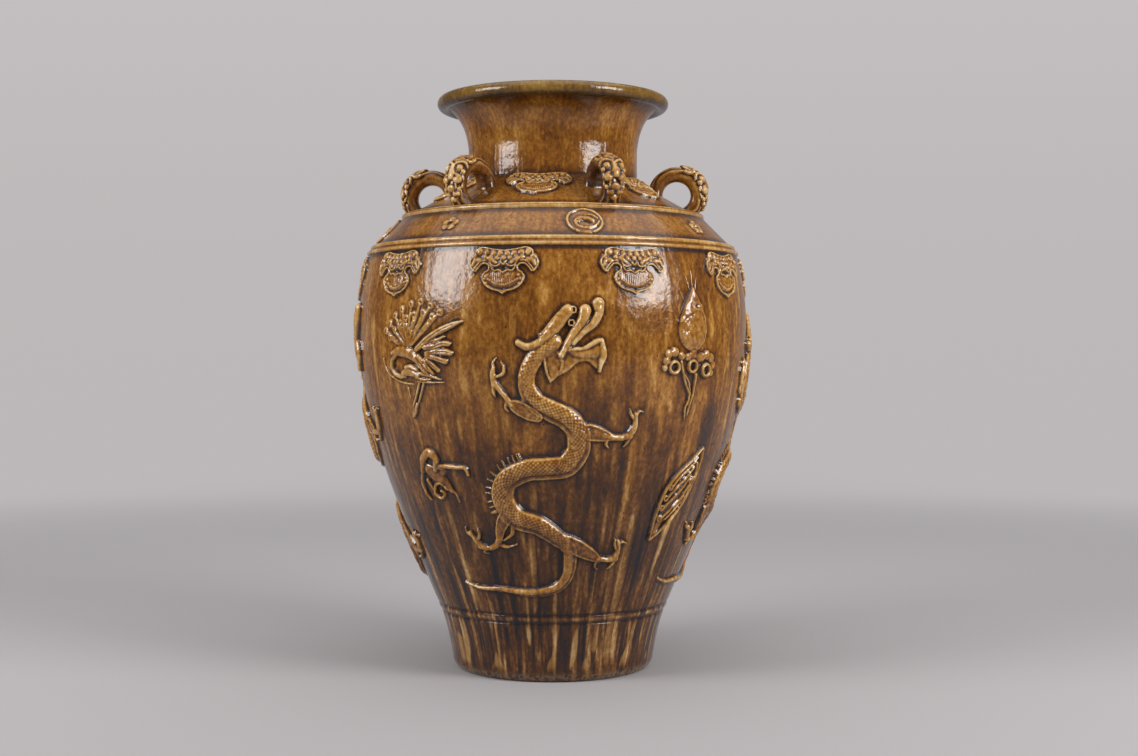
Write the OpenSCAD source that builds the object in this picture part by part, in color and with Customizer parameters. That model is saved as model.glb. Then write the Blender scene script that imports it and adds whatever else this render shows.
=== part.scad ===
// Martaban storage jar: tall shouldered stoneware, luted together from thrown sections, with six
// mask lugs round the neck and moulded relief laid on the shoulder and the wall.
// Millimetres, +Z up, standing on z = 0. The front faces -Y, and bearings run from there towards +X.

/* [Diameters] */
// Flat of the foot, where it touches the ground
rest_d = 200; // [192:1:208]
// Foot above its worn edge
foot_d = 219; // [212:1:226]
// Wall at the tooled rings above the foot
ring_d = 248; // [238:1:260]
// Belly, the widest place
belly_d = 421; // [404:1:450]
// How much narrower than the belly the wall is at the double cordon under the band
cordon_in = 24; // [19:1:45]
// How much narrower than the belly it is at the cordon above the band
ridge_in = 97; // [85:1:109]
// Neck, outside
neck_d = 184; // [172:1:192]
// Mouth over its rolled lip
mouth_d = 252; // [240:1:276]

/* [Heights] */
// Ground to the tooled rings
ring_rise = 68; // [56:1:90]
// Tooled rings to the belly
belly_rise = 299; // [270:1:330]
// Belly to the double cordon
cordon_rise = 84; // [70:1:100]
// Height of the band between the cordons
band_rise = 37; // [34:1:44]
// Cordon to the foot of the neck
shoulder_rise = 40; // [36:1:46]
// Foot of the neck to the top of the lip
neck_rise = 92; // [80:1:110]

/* [Wall] */
// Thickness of the body wall
wall_t = 9.5; // [7:0.5:12]
// Thickness of the base slab
base_t = 14; // [10:1:20]
// Width of the wall's rim round the base slab, on the ground
foot_rim = 8; // [6:1:15]
// Height of the worn edge round the foot
worn_h = 13; // [6:1:18]
// Distance of the wall's joint below the belly
joint_drop = 120; // [90:1:150]
// Flare of the wall above the foot, in degrees from upright
foot_flare = 11; // [4:1:16]
// Flare of the wall at the tooled rings, in degrees from upright
ring_flare = 23; // [18:1:28]
// Lean of the wall under the double cordon, in degrees from upright
cordon_lean = 19; // [12:1:26]
// Slope of the shoulder at its cordon, in degrees from upright
ridge_lean = 64; // [58:1:68]
// Slope of the shoulder at the neck, in degrees from upright
neck_lean = 57; // [52:1:62]

/* [Neck and lip] */
// Thickness of the neck wall
neck_t = 8; // [6:0.5:10]
// Straight part of the neck under its flare
neck_straight = 28; // [20:1:36]
// Angle that the flare turns through, in degrees
flare_turn = 82; // [70:1:86]
// Thickness of the rolled lip
lip_d = 15.4; // [13:0.2:18]

/* [Cordons and tooled rings] */
// Thickness of the beads in the double cordon
cordon_bead = 5.2; // [4:0.2:6.4]
// Distance between its two beads
cordon_gap = 5.6; // [4.6:0.2:6.4]
// Thickness of the main bead above the band
ridge_bead = 5.6; // [4:0.2:6.4]
// Thickness of the fine bead above that one
fine_bead = 2.6; // [2:0.2:3.4]
// Width of each tooled groove
groove_w = 4; // [2.5:0.5:6]
// Depth of each tooled groove
groove_depth = 1.3; // [0.6:0.1:2]
// Distance between the two tooled grooves
groove_gap = 9; // [7:0.5:14]

/* [Lugs] */
// Number of lugs
lug_count = 6; // [4:1:6]
// Bearing of the first lug, in degrees
lug_turn = 22; // [0:1:59]
// Height of a lug's seat above the shoulder cordon
lug_up = 14; // [12:1:17]
// Height of a lug's eye over its seat
lug_lift = 9; // [7:0.5:11]
// Diameter of a lug's eye
lug_eye_d = 31; // [26:1:33]
// Thickness of a lug's strap
lug_t = 13.5; // [11:0.5:15]
// Width of a lug's strap
lug_w = 20; // [16:1:24]
// Thickness of the mask's skin over the strap
mask_t = 2.4; // [1.6:0.2:3]
// Arc of the strap that the mask covers, in degrees
mask_arc = 104; // [80:2:110]
// Width of a mask over its cheeks
mask_w = 22; // [21:1:26]

/* [Ruyi masks] */
// Number of masks hung below the double cordon
pendant_count = 10; // [8:1:10]
// Bearing of the first one, in degrees
pendant_turn = 22.5; // [0:0.5:36]
// Width of a hanging mask
pendant_w = 67; // [56:1:74]
// Distance of its middle below the double cordon
pendant_drop = 30; // [28:1:36]
// Width of a shoulder mask, one between each two lugs
lappet_w = 72; // [60:1:76]
// Distance of its middle below the foot of the neck, in height
lappet_drop = 14; // [13:0.5:16]
// Thickness of a mask's plate
mask_plate = 2.2; // [1.6:0.2:3]
// Height of a mask's bosses over the wall
mask_boss = 4.4; // [3.6:0.2:5.4]

/* [Band ornament] */
// Number of round medallions, and of flowers between them
medal_count = 4; // [2:1:5]
// Bearing of the first medallion, in degrees
medal_turn = 10; // [0:1:44]
// Width of a medallion
medal_w = 39; // [30:1:42]
// Width of a flower
flower_w = 22; // [16:1:26]
// Thickness of the band's ornament
band_plate = 2.4; // [1.6:0.2:3.2]

/* [Wall ornament] */
// Height of the dragon's middle, as a percentage of the way up from the tooled rings to the belly
dragon_up = 57.5; // [55.5:0.5:60]
// Height of the dragon's back over the wall
dragon_relief = 7.5; // [5:0.5:9]
// Width of the dragon's body at its widest
dragon_w = 24; // [18:1:27]
// Number of spines on the dragon's comb
spine_count = 13; // [9:1:16]
// Bearing of the phoenix from its dragon, in degrees
phoenix_turn = -43; // [-44:0.5:-42]
// Height of the phoenix, as a percentage of the same way
phoenix_up = 92.3; // [90.5:0.1:94]
// Bearing of the flaming pearl from its dragon, in degrees
pearl_turn = 41.5; // [40:0.5:43]
// Height of the pearl's foot, as a percentage of the same way
pearl_up = 93; // [91:0.1:94.8]
// Bearing of the crouching duck from its dragon, in degrees
duck_turn = -38; // [-39:0.5:-37]
// Height of the duck, as a percentage of the same way
duck_up = 50.8; // [49:0.1:52.8]
// Bearing of the drifting cloud from its dragon, in degrees
cloud_turn = 44.6; // [43.6:0.5:46]
// Height of the cloud, as a percentage of the same way
cloud_up = 43.8; // [41.5:0.1:45.8]
// Height of these smaller figures over the wall
figure_relief = 5; // [3.5:0.5:6]

/* [Hidden] */
$fn = 96;
rest_r = rest_d/2;
foot_r = foot_d/2;
ring_r = ring_d/2;
belly_r = belly_d/2;
cordon_r = belly_r - cordon_in/2;
ridge_r = belly_r - ridge_in/2;
neck_r = neck_d/2;
mouth_r = mouth_d/2;
base_r = rest_r - foot_rim;
lip_r = lip_d/2;
ring_z = ring_rise;
belly_z = ring_z + belly_rise;
joint_z = belly_z - joint_drop;
cordon_z = belly_z + cordon_rise;
ridge_z = cordon_z + band_rise;
neck_z = ridge_z + shoulder_rise;
jar_h = neck_z + neck_rise;
band_slope = (ridge_r - cordon_r)/band_rise;
lug_seat_z = ridge_z + lug_up;
lug_out = lug_eye_d/2 + lug_t;
lug_pitch = 360/lug_count;
quarter = 90;
dragon_count = 4;
figure_count = 2;

umber = [0.36, 0.22, 0.10];
honey = [0.55, 0.35, 0.14];
ochre = [0.62, 0.42, 0.20];
tan_clay = [0.72, 0.58, 0.38];
olive = [0.45, 0.38, 0.18];
bare_clay = [0.55, 0.45, 0.36];

// Each row is one stretch of the outer wall: height, radius and slope at its foot, then at its top
stretches = [
    [worn_h, foot_r, tan(foot_flare), ring_z, ring_r, tan(ring_flare)],
    [ring_z, ring_r, tan(ring_flare), belly_z, belly_r, 0],
    [belly_z, belly_r, 0, cordon_z, cordon_r, -tan(cordon_lean)],
    [cordon_z, cordon_r, band_slope, ridge_z, ridge_r, band_slope],
    [ridge_z, ridge_r, -tan(ridge_lean), neck_z, neck_r, -tan(neck_lean)]];

// Radius on a stretch, as a cubic that keeps both end radii and both end slopes
function stretch_r(s, z) =
    let (span = s[3] - s[0], t = (z - s[0])/span)
    s[1]*(2*t^3 - 3*t^2 + 1) + span*s[2]*(t^3 - 2*t^2 + t)
    + s[4]*(3*t^2 - 2*t^3) + span*s[5]*(t^3 - t^2);

function stretch_at(z) = [for (s = stretches) if (z <= s[3]) s][0];
function wall_r(z) = z > neck_z ? neck_r : stretch_r(stretch_at(z), z);
function wall_tilt(z) = atan(wall_r(z + 0.5) - wall_r(z - 0.5));

// Heights at which the wall's outline has a point, from the worn edge to the neck
function steps(low, high, count) = [for (i = [0:count - 1]) low + (high - low)*i/count];
foot_steps = 4;
low_steps = 11;
belly_steps = 8;
top_steps = 6;
band_steps = 2;
shoulder_steps = 4;
wall_z = concat(steps(worn_h, ring_z, foot_steps), steps(ring_z, joint_z, low_steps),
    steps(joint_z, belly_z, belly_steps), steps(belly_z, cordon_z, top_steps),
    steps(cordon_z, ridge_z, band_steps), steps(ridge_z, neck_z, shoulder_steps), [neck_z]);
joint_i = foot_steps + low_steps;
cordon_i = joint_i + belly_steps + top_steps;
ridge_i = cordon_i + band_steps;
neck_i = ridge_i + shoulder_steps;

function up_the_wall(percent) = ring_z + belly_rise*percent/100;

// A point of the outline, moved outwards square to the wall
function outline_at(i, out) =
    let (z = wall_z[i], tilt = i == neck_i ? -neck_lean : wall_tilt(z))
    [wall_r(z) + out*cos(tilt), z - out*sin(tilt)];
function outer_line(first, last) = [for (i = [first:last]) outline_at(i, 0)];
function inner_line(first, last) = [for (i = [last:-1:first]) outline_at(i, -wall_t)];
foot_edge = [for (a = [0:30:60]) [rest_r + (foot_r - rest_r)*sin(a), worn_h*(1 - cos(a))]];

// A point over the wall: sideways along it from the front, up from the ground, and out from it
function on_wall(x, z, out) =
    let (r = wall_r(z), tilt = wall_tilt(z), turn = x/r*180/PI, reach = r + out*cos(tilt))
    [reach*sin(turn), -reach*cos(turn), z - out*sin(tilt)];

// Puts children on the wall: X along it to the right, Y up it, Z out of it
module at_wall(turn, z) {
    rotate([0, 0, turn]) translate([0, -wall_r(z), z]) rotate([90 + wall_tilt(z), 0, 0]) children();
}

// A skin over part of the wall, from one height out of it to another
module wall_skin(turn, low, high, half_turn, from, to) {
    ids = [for (i = [0:neck_i])
        if ((i == neck_i || wall_z[i + 1] > low) && (i == 0 || wall_z[i - 1] < high)) i];
    rotate([0, 0, turn - quarter - half_turn]) rotate_extrude(angle = 2*half_turn)
        polygon(concat([for (i = ids) outline_at(i, from)],
            [for (k = [len(ids) - 1:-1:0]) outline_at(ids[k], to)]));
}

// A flat outline laid on the wall as a plate that follows it
module laid_plate(turn, z, half_w, half_h, thick) {
    reach = 14;
    intersection() {
        at_wall(turn, z) translate([0, 0, -reach]) linear_extrude(height = 2*reach) children();
        wall_skin(turn, z - half_h, z + half_h, (half_w + reach)/wall_r(z)*180/PI, 0, thick);
    }
}

// A round on a plate: x along the wall and y up it from the plate's middle
module boss(turn, z, x, y, r, top, sunk) {
    height = z + y*cos(wall_tilt(z));
    at_wall(turn + x/wall_r(height)*180/PI, height) translate([0, 0, sunk])
        cylinder(r1 = r, r2 = r*0.55, h = top - sunk);
}

module base_slab() {
    color(bare_clay) cylinder(r = base_r, h = base_t);
}

module tooled_grooves() {
    cutter_r = (groove_w*groove_w/4 + groove_depth*groove_depth)/(2*groove_depth);
    for (side = [-1, 1]) {
        z = ring_z + side*groove_gap/2;
        translate([wall_r(z) + cutter_r - groove_depth, z]) circle(r = cutter_r);
    }
}

module lower_wall() {
    floor_ids = [for (i = [joint_i + 1:-1:0]) if (outline_at(i, -wall_t)[1] > base_t + wall_t/2) i];
    color(umber) rotate_extrude() difference() {
        polygon(concat([[base_r, 0]], foot_edge, outer_line(0, joint_i),
            [for (i = floor_ids) outline_at(i, -wall_t)],
            [[wall_r(base_t) - wall_t, base_t], [base_r, base_t]]));
        tooled_grooves();
    }
}

module upper_wall() {
    color(umber) rotate_extrude()
        polygon(concat(outer_line(joint_i, cordon_i), inner_line(joint_i + 1, cordon_i + 1)));
}

module shoulder() {
    color(honey) rotate_extrude()
        polygon(concat(outer_line(cordon_i, neck_i), inner_line(cordon_i + 1, neck_i)));
}

// Outline of the neck's wall: straight, then a quarter of an ellipse out to the lip
module neck_outline() {
    flare_z = neck_z + neck_straight;
    lip_at = [mouth_r - lip_r, jar_h - lip_r];
    flare_w = (lip_at[0] - neck_r)/(1 - cos(flare_turn));
    flare_h = (lip_at[1] - neck_t/2 - flare_z)/sin(flare_turn);
    flare_steps = 8;
    turns = [for (i = [0:flare_steps]) flare_turn*i/flare_steps];
    throat_low = neck_z + neck_t/2;
    polygon(concat([[neck_r, neck_z]],
        [for (a = turns) [neck_r + flare_w*(1 - cos(a)), flare_z + flare_h*sin(a)]],
        [for (i = [flare_steps:-1:0]) let (a = turns[i])
            [neck_r + flare_w*(1 - cos(a)) - neck_t*cos(a), flare_z + flare_h*sin(a) + neck_t*sin(a)]],
        [[neck_r - neck_t, throat_low], outline_at(neck_i, -wall_t)]));
}

module neck() {
    color(honey) rotate_extrude() neck_outline();
}

module rolled_lip() {
    color(olive) rotate_extrude() difference() {
        translate([mouth_r - lip_r, jar_h - lip_r]) circle(r = lip_r);
        neck_outline();
    }
}

// The wall's own section, which cordons are laid on
module wall_section() {
    polygon(concat([[0, belly_z]], outer_line(joint_i + belly_steps, neck_i), [[0, neck_z]]));
}

module double_cordon() {
    color(tan_clay) rotate_extrude() difference() {
        for (side = [-1, 1]) {
            z = cordon_z + side*cordon_gap/2;
            translate([wall_r(z), z]) circle(d = cordon_bead);
        }
        wall_section();
    }
}

module ridge_beads() {
    fine_z = ridge_z + (ridge_bead + fine_bead)*0.3;
    translate([ridge_r, ridge_z]) circle(d = ridge_bead);
    translate([wall_r(fine_z), fine_z]) circle(d = fine_bead);
}

module shoulder_cordon() {
    color(tan_clay) rotate_extrude() difference() {
        ridge_beads();
        wall_section();
    }
}

// Puts children at a lug's eye, with Z along the eye and X out from the jar
module at_lug(i) {
    rotate([0, 0, lug_turn + i*lug_pitch - quarter])
        translate([wall_r(lug_seat_z), 0, lug_seat_z + lug_lift]) rotate([90, 0, 0]) children();
}

// Section of a strap round an eye: flat inside, rounded over its back
module strap_section(inner_r, outer_r, width) {
    ease = 2;
    thick = outer_r - inner_r;
    polygon(concat([[inner_r, width/2 - ease], [inner_r, ease - width/2], [inner_r + ease, -width/2]],
        [for (a = [-72:24:72]) [inner_r + thick*(0.35 + 0.65*cos(a)), width/2*sin(a)/sin(72)]],
        [[inner_r + ease, width/2]]));
}

module lug_strap() {
    rotate_extrude() strap_section(lug_eye_d/2, lug_out, lug_w);
}

// What a lug and its mask are cut back to: the shoulder with its cordon
module lug_seat() {
    rotate_extrude() {
        polygon(concat([[0, cordon_z]], outer_line(cordon_i, neck_i), [[0, neck_z]]));
        ridge_beads();
    }
}

module lug(i) {
    color(olive) difference() {
        at_lug(i) lug_strap();
        lug_seat();
    }
}

// The beast's face: each row is turn up the strap, sideways place, radius and rise of one round
face_bosses = [[58, 0, 5.5, 3.4], [50, 6.4, 4.2, 3.4], [50, -6.4, 4.2, 3.4], [36, 4.6, 2.8, 4.6],
    [36, -4.6, 2.8, 4.6], [25, 0, 3.6, 5.4], [14, 5.6, 4, 3.8], [14, -5.6, 4, 3.8], [6, 0, 4.2, 4.4],
    [-10, 0, 3.6, 3]];

module lug_mask(i) {
    skin_r = lug_out + mask_t;
    color(tan_clay) difference() {
        at_lug(i) difference() {
            union() {
                rotate([0, 0, -mask_arc*0.27]) rotate_extrude(angle = mask_arc)
                    strap_section(lug_out - lug_t*0.5, skin_r, mask_w);
                for (b = face_bosses) rotate([0, 0, b[0]])
                    translate([lug_out - b[2]*0.5, 0, b[1]]) rotate([0, 90, 0])
                        cylinder(r1 = b[2]*1.1, r2 = b[2]*0.55, h = b[2]*0.5 + b[3]);
            }
            lug_strap();
        }
        lug_seat();
    }
}

// Right half of a ruyi mask, from its middle out to its ear. Each column is across, its top and its
// bottom as shares of the width, then the rise of its curls down four rows
ruyi_half = [[0, 0.35, -0.37, [1, 0.5, 0.9, 0.3]], [0.08, 0.36, -0.33, [0.3, 0.8, 0.2, 0.6]],
    [0.16, 0.355, -0.30, [1, 0.5, 0.7, 0.2]], [0.24, 0.35, -0.26, [0.3, 0.9, 0.3, 0.6]],
    [0.31, 0.345, -0.17, [1, 0.4, 0.8, 0.2]], [0.36, 0.34, -0.06, [0.4, 0.6, 0.3, 0.3]],
    [0.40, 0.33, 0.08, [0.8, 0.3, 0.1, 0]], [0.45, 0.30, -0.02, [0.5, 0.7, 0.6, 0.3]],
    [0.49, 0.25, -0.03, [0.5, 0.8, 0.7, 0.4]], [0.515, 0.17, 0.05, [0, 0.2, 0.1, 0]]];
ruyi_rows = [0, 0.06, 0.24, 0.42, 0.6, 0.78, 0.94, 1];
mask_bed = 0.4;

// Height over the wall of one point of a ruyi mask: bedded at its edge, then its plate, then its curls
function ruyi_rise(column, row) =
    row == 0 || row == 7 ? -mask_bed : row == 1 || row == 6 ? mask_plate
    : mask_plate + (mask_boss - mask_plate)*column[3][row - 2];

module ruyi_mask(turn, z, width) {
    last = len(ruyi_half) - 1;
    left = [for (k = [last:-1:1]) let (c = ruyi_half[k]) [-c[0], c[1], c[2], c[3]]];
    columns = concat(left, ruyi_half);
    n = len(ruyi_rows);
    points = [for (c = columns) for (k = [0:n - 1])
        let (y = width*(c[1] + (c[2] - c[1])*ruyi_rows[k]))
        on_wall(c[0]*width, z + y*cos(wall_tilt(z)), ruyi_rise(c, k))];
    end = (len(columns) - 1)*n;
    faces = [for (i = [0:len(columns) - 2]) for (k = [0:n - 1]) let (a = i*n + k, b = i*n + (k + 1)%n)
        each [[a, b + n, b], [a, a + n, b + n]]];
    caps = [for (k = [1:n - 2]) each [[0, k, k + 1], [end, end + k + 1, end + k]]];
    rotate([0, 0, turn]) polyhedron(points, concat(faces, caps));
}

module pendant(i) {
    color(tan_clay) ruyi_mask(pendant_turn + i*360/pendant_count, cordon_z - pendant_drop, pendant_w);
}

module lappet(i) {
    color(tan_clay) ruyi_mask(lug_turn + (i + 0.5)*lug_pitch, neck_z - lappet_drop, lappet_w);
}

band_z = cordon_z + band_rise*0.52;

// Round medallion with a rim, a flying bird's body and a curl of cloud
module medallion(i) {
    turn = medal_turn + i*360/medal_count;
    color(tan_clay) {
        laid_plate(turn, band_z, medal_w/2, medal_w/2, band_plate*0.6) circle(d = medal_w*0.92);
        laid_plate(turn, band_z, medal_w/2, medal_w/2, band_plate) difference() {
            circle(d = medal_w);
            circle(d = medal_w*0.82);
        }
        boss(turn, band_z, -medal_w*0.04, medal_w*0.1, medal_w*0.15, band_plate*1.6, band_plate*0.3);
        boss(turn, band_z, medal_w*0.2, -medal_w*0.06, medal_w*0.09, band_plate*1.4, band_plate*0.3);
        boss(turn, band_z, -medal_w*0.16, -medal_w*0.15, medal_w*0.09, band_plate*1.4, band_plate*0.3);
    }
}

// Five-lobed flower with a round heart
module band_flower(i) {
    turn = medal_turn + (i + 0.5)*360/medal_count;
    petals = 5;
    points = 40;
    color(tan_clay) {
        laid_plate(turn, band_z, flower_w/2, flower_w/2, band_plate)
            polygon([for (k = [0:points - 1]) let (a = k*360/points)
                flower_w/2*(0.72 + 0.28*abs(cos(a*petals/2)))*[cos(a), sin(a)]]);
        boss(turn, band_z, 0, 0, flower_w*0.16, band_plate*1.7, band_plate/2);
    }
}

// A rolled strip of clay laid along points of the wall: each is across, up, width and height.
// Its section goes over the top from one edge to the other, and back under the middle.
strip_section = [[-1, 0], [-0.74, 0.72], [0, 1], [0.74, 0.72], [1, 0], [0, 0]];

// Depth that a figure's strips are pressed into the wall: less for each one than for the one before
function bed(order) = 0.7 - 0.05*min(order, 10);
// A later strip starts inside an earlier one, this much above the wall
strip_lift = 1;

function between(a, b, c, d, t) =
    0.5*(2*b + (c - a)*t + (2*a - 5*b + 4*c - d)*t^2 + (3*b - a - 3*c + d)*t^3);
function smoothed(p, count) =
    let (n = len(p) - 1)
    concat([for (i = [0:n - 1]) for (k = [0:count - 1])
        between(p[max(i - 1, 0)], p[i], p[i + 1], p[min(i + 2, n)], k/count)], [p[n]]);

function heading(p, i) =
    let (a = p[max(i - 1, 0)], b = p[min(i + 1, len(p) - 1)], d = [b[0] - a[0], b[1] - a[1]])
    d/norm(d);

module strip(points, z, count, order) {
    p = smoothed(points, count);
    n = len(strip_section);
    rings = [for (i = [0:len(p) - 1])
        let (h = heading(p, i), low = i == 0 && order > 0 ? strip_lift : -bed(order))
        for (s = strip_section)
            on_wall(p[i][0] + s[0]*p[i][2]/2*h[1], z + p[i][1] - s[0]*p[i][2]/2*h[0],
                low + s[1]*(p[i][3] - low))];
    last = (len(p) - 1)*n;
    sides = [for (i = [0:len(p) - 2]) for (k = [0:n - 1]) let (a = i*n + k, b = i*n + (k + 1)%n)
        each [[a, b + n, b], [a, a + n, b + n]]];
    ends = [for (k = [1:n - 2]) each [[0, k, k + 1], [last, last + k + 1, last + k]]];
    polyhedron(rings, concat(sides, ends));
}

// A claw, spine or flame: a pointed tuft from one place on the wall to another
module spike(from, to, z, width, height) {
    run = [to[0] - from[0], to[1] - from[1]];
    side = [-run[1], run[0]]/norm(run)*width/2;
    depth = 0.15;
    corners = [on_wall(from[0] - side[0], z + from[1] - side[1], -depth),
        on_wall(from[0] + side[0], z + from[1] + side[1], -depth),
        on_wall(from[0], z + from[1], height), on_wall(to[0], z + to[1], 0)];
    hull() polyhedron(corners, [[0, 1, 2], [0, 2, 3], [0, 3, 1], [1, 3, 2]]);
}

// The dragon's back, from the tip of its tail to its neck: across, up, and width as a share of its widest
dragon_back = [[-96, -134, 0.1], [-77, -139, 0.2], [-52, -139, 0.28], [-23, -142, 0.36], [2, -137, 0.44],
    [14, -124, 0.5], [17, -106, 0.58], [15, -93, 0.64], [4, -83, 0.76], [-15, -70, 0.9],
    [-34, -64, 0.94], [-45, -53, 0.96], [-50, -38, 1], [-45, -24, 1], [-26, -14, 0.98],
    [-6, -12, 0.98], [13, -9, 1], [24, 5, 1], [25, 17, 1], [22, 28, 0.98], [12, 38, 0.96],
    [-2, 45, 0.92], [-17, 54, 0.84], [-25, 68, 0.76], [-24, 84, 0.74], [-14, 100, 0.8],
    [0, 111, 0.84]];
// Legs: points across, up and width
dragon_legs = [
    [[-14, 43, 13], [-33, 46, 15], [-48, 57, 10], [-57, 70, 8], [-59, 83, 7], [-57, 88, 5]],
    [[20, 30, 17], [38, 25, 17], [55, 22, 12], [74, 21, 9], [82, 30, 8], [84, 39, 6]],
    [[-42, -56, 18], [-48, -70, 16], [-55, -84, 11], [-67, -95, 8], [-77, -96, 7], [-82, -86, 5]],
    [[12, -88, 18], [32, -97, 16], [46, -101, 11], [61, -108, 8], [68, -99, 7], [70, -90, 5]]];
// Claws: where each springs from, where it ends, and its width
dragon_claws = [
    [[-58, 85], [-62, 96], 5], [[-57, 85], [-49, 94], 5], [[-50, 58], [-47, 43], 6],
    [[84, 36], [79, 49], 5], [[84, 36], [93, 43], 5], [[76, 22], [73, 8], 6], [[58, 21], [53, 7], 6],
    [[-82, -89], [-85, -77], 5], [[-81, -89], [-92, -83], 5], [[-64, -93], [-72, -77], 6],
    [[70, -93], [65, -81], 5], [[69, -93], [79, -85], 5]];
// Snout, crest, horn, beard and mane: points across, up and width
dragon_head = [
    [[15, 143, 11], [4, 130, 14], [-8, 118, 13], [-21, 108, 11], [-35, 113, 7]],
    [[30, 141, 11], [21, 127, 10], [12, 113, 11], [2, 98, 9]],
    [[46, 151, 11], [47, 140, 9], [36, 127, 8], [23, 119, 9], [12, 108, 9]],
    [[8, 100, 18], [30, 104, 14], [45, 102, 24]],
    [[22, 98, 16], [6, 88, 14], [-3, 76, 3]]];

// Narrow parts of a strip lie lower than broad ones
function risen(points, relief) = [for (q = points) [q[0], q[1], q[2], relief*(0.35 + 0.65*min(1, q[2]/14))]];

module dragon(i) {
    z = up_the_wall(dragon_up);
    back = [for (q = dragon_back) [q[0], q[1], q[2]*dragon_w, dragon_relief*(0.35 + 0.65*q[2])]];
    comb = smoothed([for (k = [11:14]) back[k]], 6);
    spine_h = 7;
    color(ochre) rotate([0, 0, i*quarter]) {
        strip(back, z, 2, 0);
        for (leg = dragon_legs) strip(risen(leg, dragon_relief*0.9), z, 1, 1);
        for (k = [0:len(dragon_head) - 1]) strip(risen(dragon_head[k], dragon_relief), z, 1, 2 + k);
        for (claw = dragon_claws) spike(claw[0], claw[1], z, claw[2], dragon_relief*0.55);
        for (k = [0:spine_count - 1]) {
            n = round(k*(len(comb) - 1)/(spine_count - 1));
            q = comb[n];
            h = heading(comb, n);
            side = [-h[1], h[0]];
            at = [q[0], q[1]];
            spike(at + side*q[2]*0.4, at + side*(q[2]/2 + spine_h), z, 3.6, dragon_relief*0.6);
        }
    }
}

// A smaller figure: broad strips of points across, up and width, and tufts as a dragon's claws
module figure(i, turn, z, strips, tufts) {
    color(ochre) rotate([0, 0, turn + i*2*quarter]) {
        for (k = [0:len(strips) - 1]) strip(risen(strips[k], figure_relief), z, 1, k);
        for (t = tufts) spike(t[0], t[1], z, t[2], figure_relief*0.7);
    }
}

// A scroll round a point, from one angle to another
function scroll(x, y, r, width, from, to) =
    [for (k = [0:6]) let (a = from + (to - from)*k/6) [x + r*cos(a), y + r*sin(a), width]];

// Body, neck and beak, leg, then the tail and the wing's feathers
phoenix_strips = [
    [[30, 4, 12], [16, 6, 20], [-2, 8, 16], [-16, 5, 10], [-27, -3, 7], [-29, -13, 7], [-22, -23, 8],
        [-10, -26, 10], [2, -24, 12], [9, -24, 6]],
    [[6, -2, 9], [13, -16, 5], [14, -30, 5], [8, -42, 5], [0, -56, 9]],
    [[12, 8, 8], [38, 18, 13], [60, 27, 6]], [[26, 4, 8], [46, -1, 11], [56, -5, 5]],
    [[24, 0, 8], [40, -13, 9], [47, -19, 5]], [[16, 0, 7], [28, -18, 8], [35, -28, 4]],
    [[-4, 10, 6], [-28, 16, 8], [-44, 13, 5]], [[-4, 10, 6], [-26, 24, 8], [-42, 27, 5]],
    [[-2, 10, 6], [-18, 30, 8], [-30, 38, 5]], [[2, 10, 6], [-6, 32, 8], [-12, 43, 5]],
    [[6, 10, 6], [8, 30, 8], [10, 39, 5]]];
phoenix_tufts = [[[58, 26], [70, 31], 6], [[54, -4], [64, -9], 5], [[46, -18], [52, -27], 5],
    [[34, -27], [40, -37], 4], [[-43, 13], [-54, 9], 5], [[-41, 27], [-52, 28], 5], [[-29, 37], [-38, 46], 5],
    [[-12, 42], [-17, 54], 5], [[10, 38], [10, 50], 5], [[5, -24], [24, -30], 6]];

// The pearl under its hood of flame, over three scrolls on two stems
pearl_strips = [
    [[0, -8, 10], [0, 6, 24], [0, 18, 31], [0, 30, 27], [0, 43, 16], [0, 56, 5]],
    scroll(-24, -15, 8, 6, 30, 300), scroll(0, -16, 8, 6, 90, 380), scroll(24, -15, 8, 6, 150, -120),
    [[-20, -7, 6], [0, -6, 9], [20, -7, 6]],
    [[-6, -24, 5], [-10, -36, 5], [-5, -50, 5], [-9, -63, 4]],
    [[6, -23, 5], [0, -36, 5], [-2, -48, 5], [-6, -58, 4]]];
pearl_tufts = [[[0, 54], [0, 66], 5], [[-12, 26], [-19, 40], 6], [[12, 26], [19, 40], 6],
    [[-14, 12], [-23, 22], 5], [[14, 12], [23, 22], 5], [[-30, -12], [-41, -6], 5],
    [[30, -12], [41, -6], 5], [[-29, -20], [-37, -28], 5], [[29, -20], [37, -28], 5]];

// The duck's head, back and spread tail, and its wing lifted to one side
duck_strips = [
    [[-34, -3, 8], [-26, 10, 15], [-14, 14, 20], [-5, 3, 18], [2, -9, 14], [7, -20, 8]],
    [[-8, 8, 12], [14, 6, 13], [28, 6, 10], [38, 2, 6]], scroll(4, -4, 7, 6, 120, 380),
    [[8, 2, 7], [18, -12, 7], [20, -24, 4]], [[-26, 6, 6], [-30, -10, 6], [-25, -22, 4]]];
duck_tufts = [[[-10, 18], [-24, 25], 6], [[34, 5], [38, 16], 6], [[20, -22], [17, -33], 4],
    [[7, -18], [12, -30], 6], [[4, -18], [2, -31], 5], [[-26, -20], [-20, -30], 4],
    [[-6, 12], [8, 17], 6], [[26, 3], [35, -9], 6]];

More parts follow.
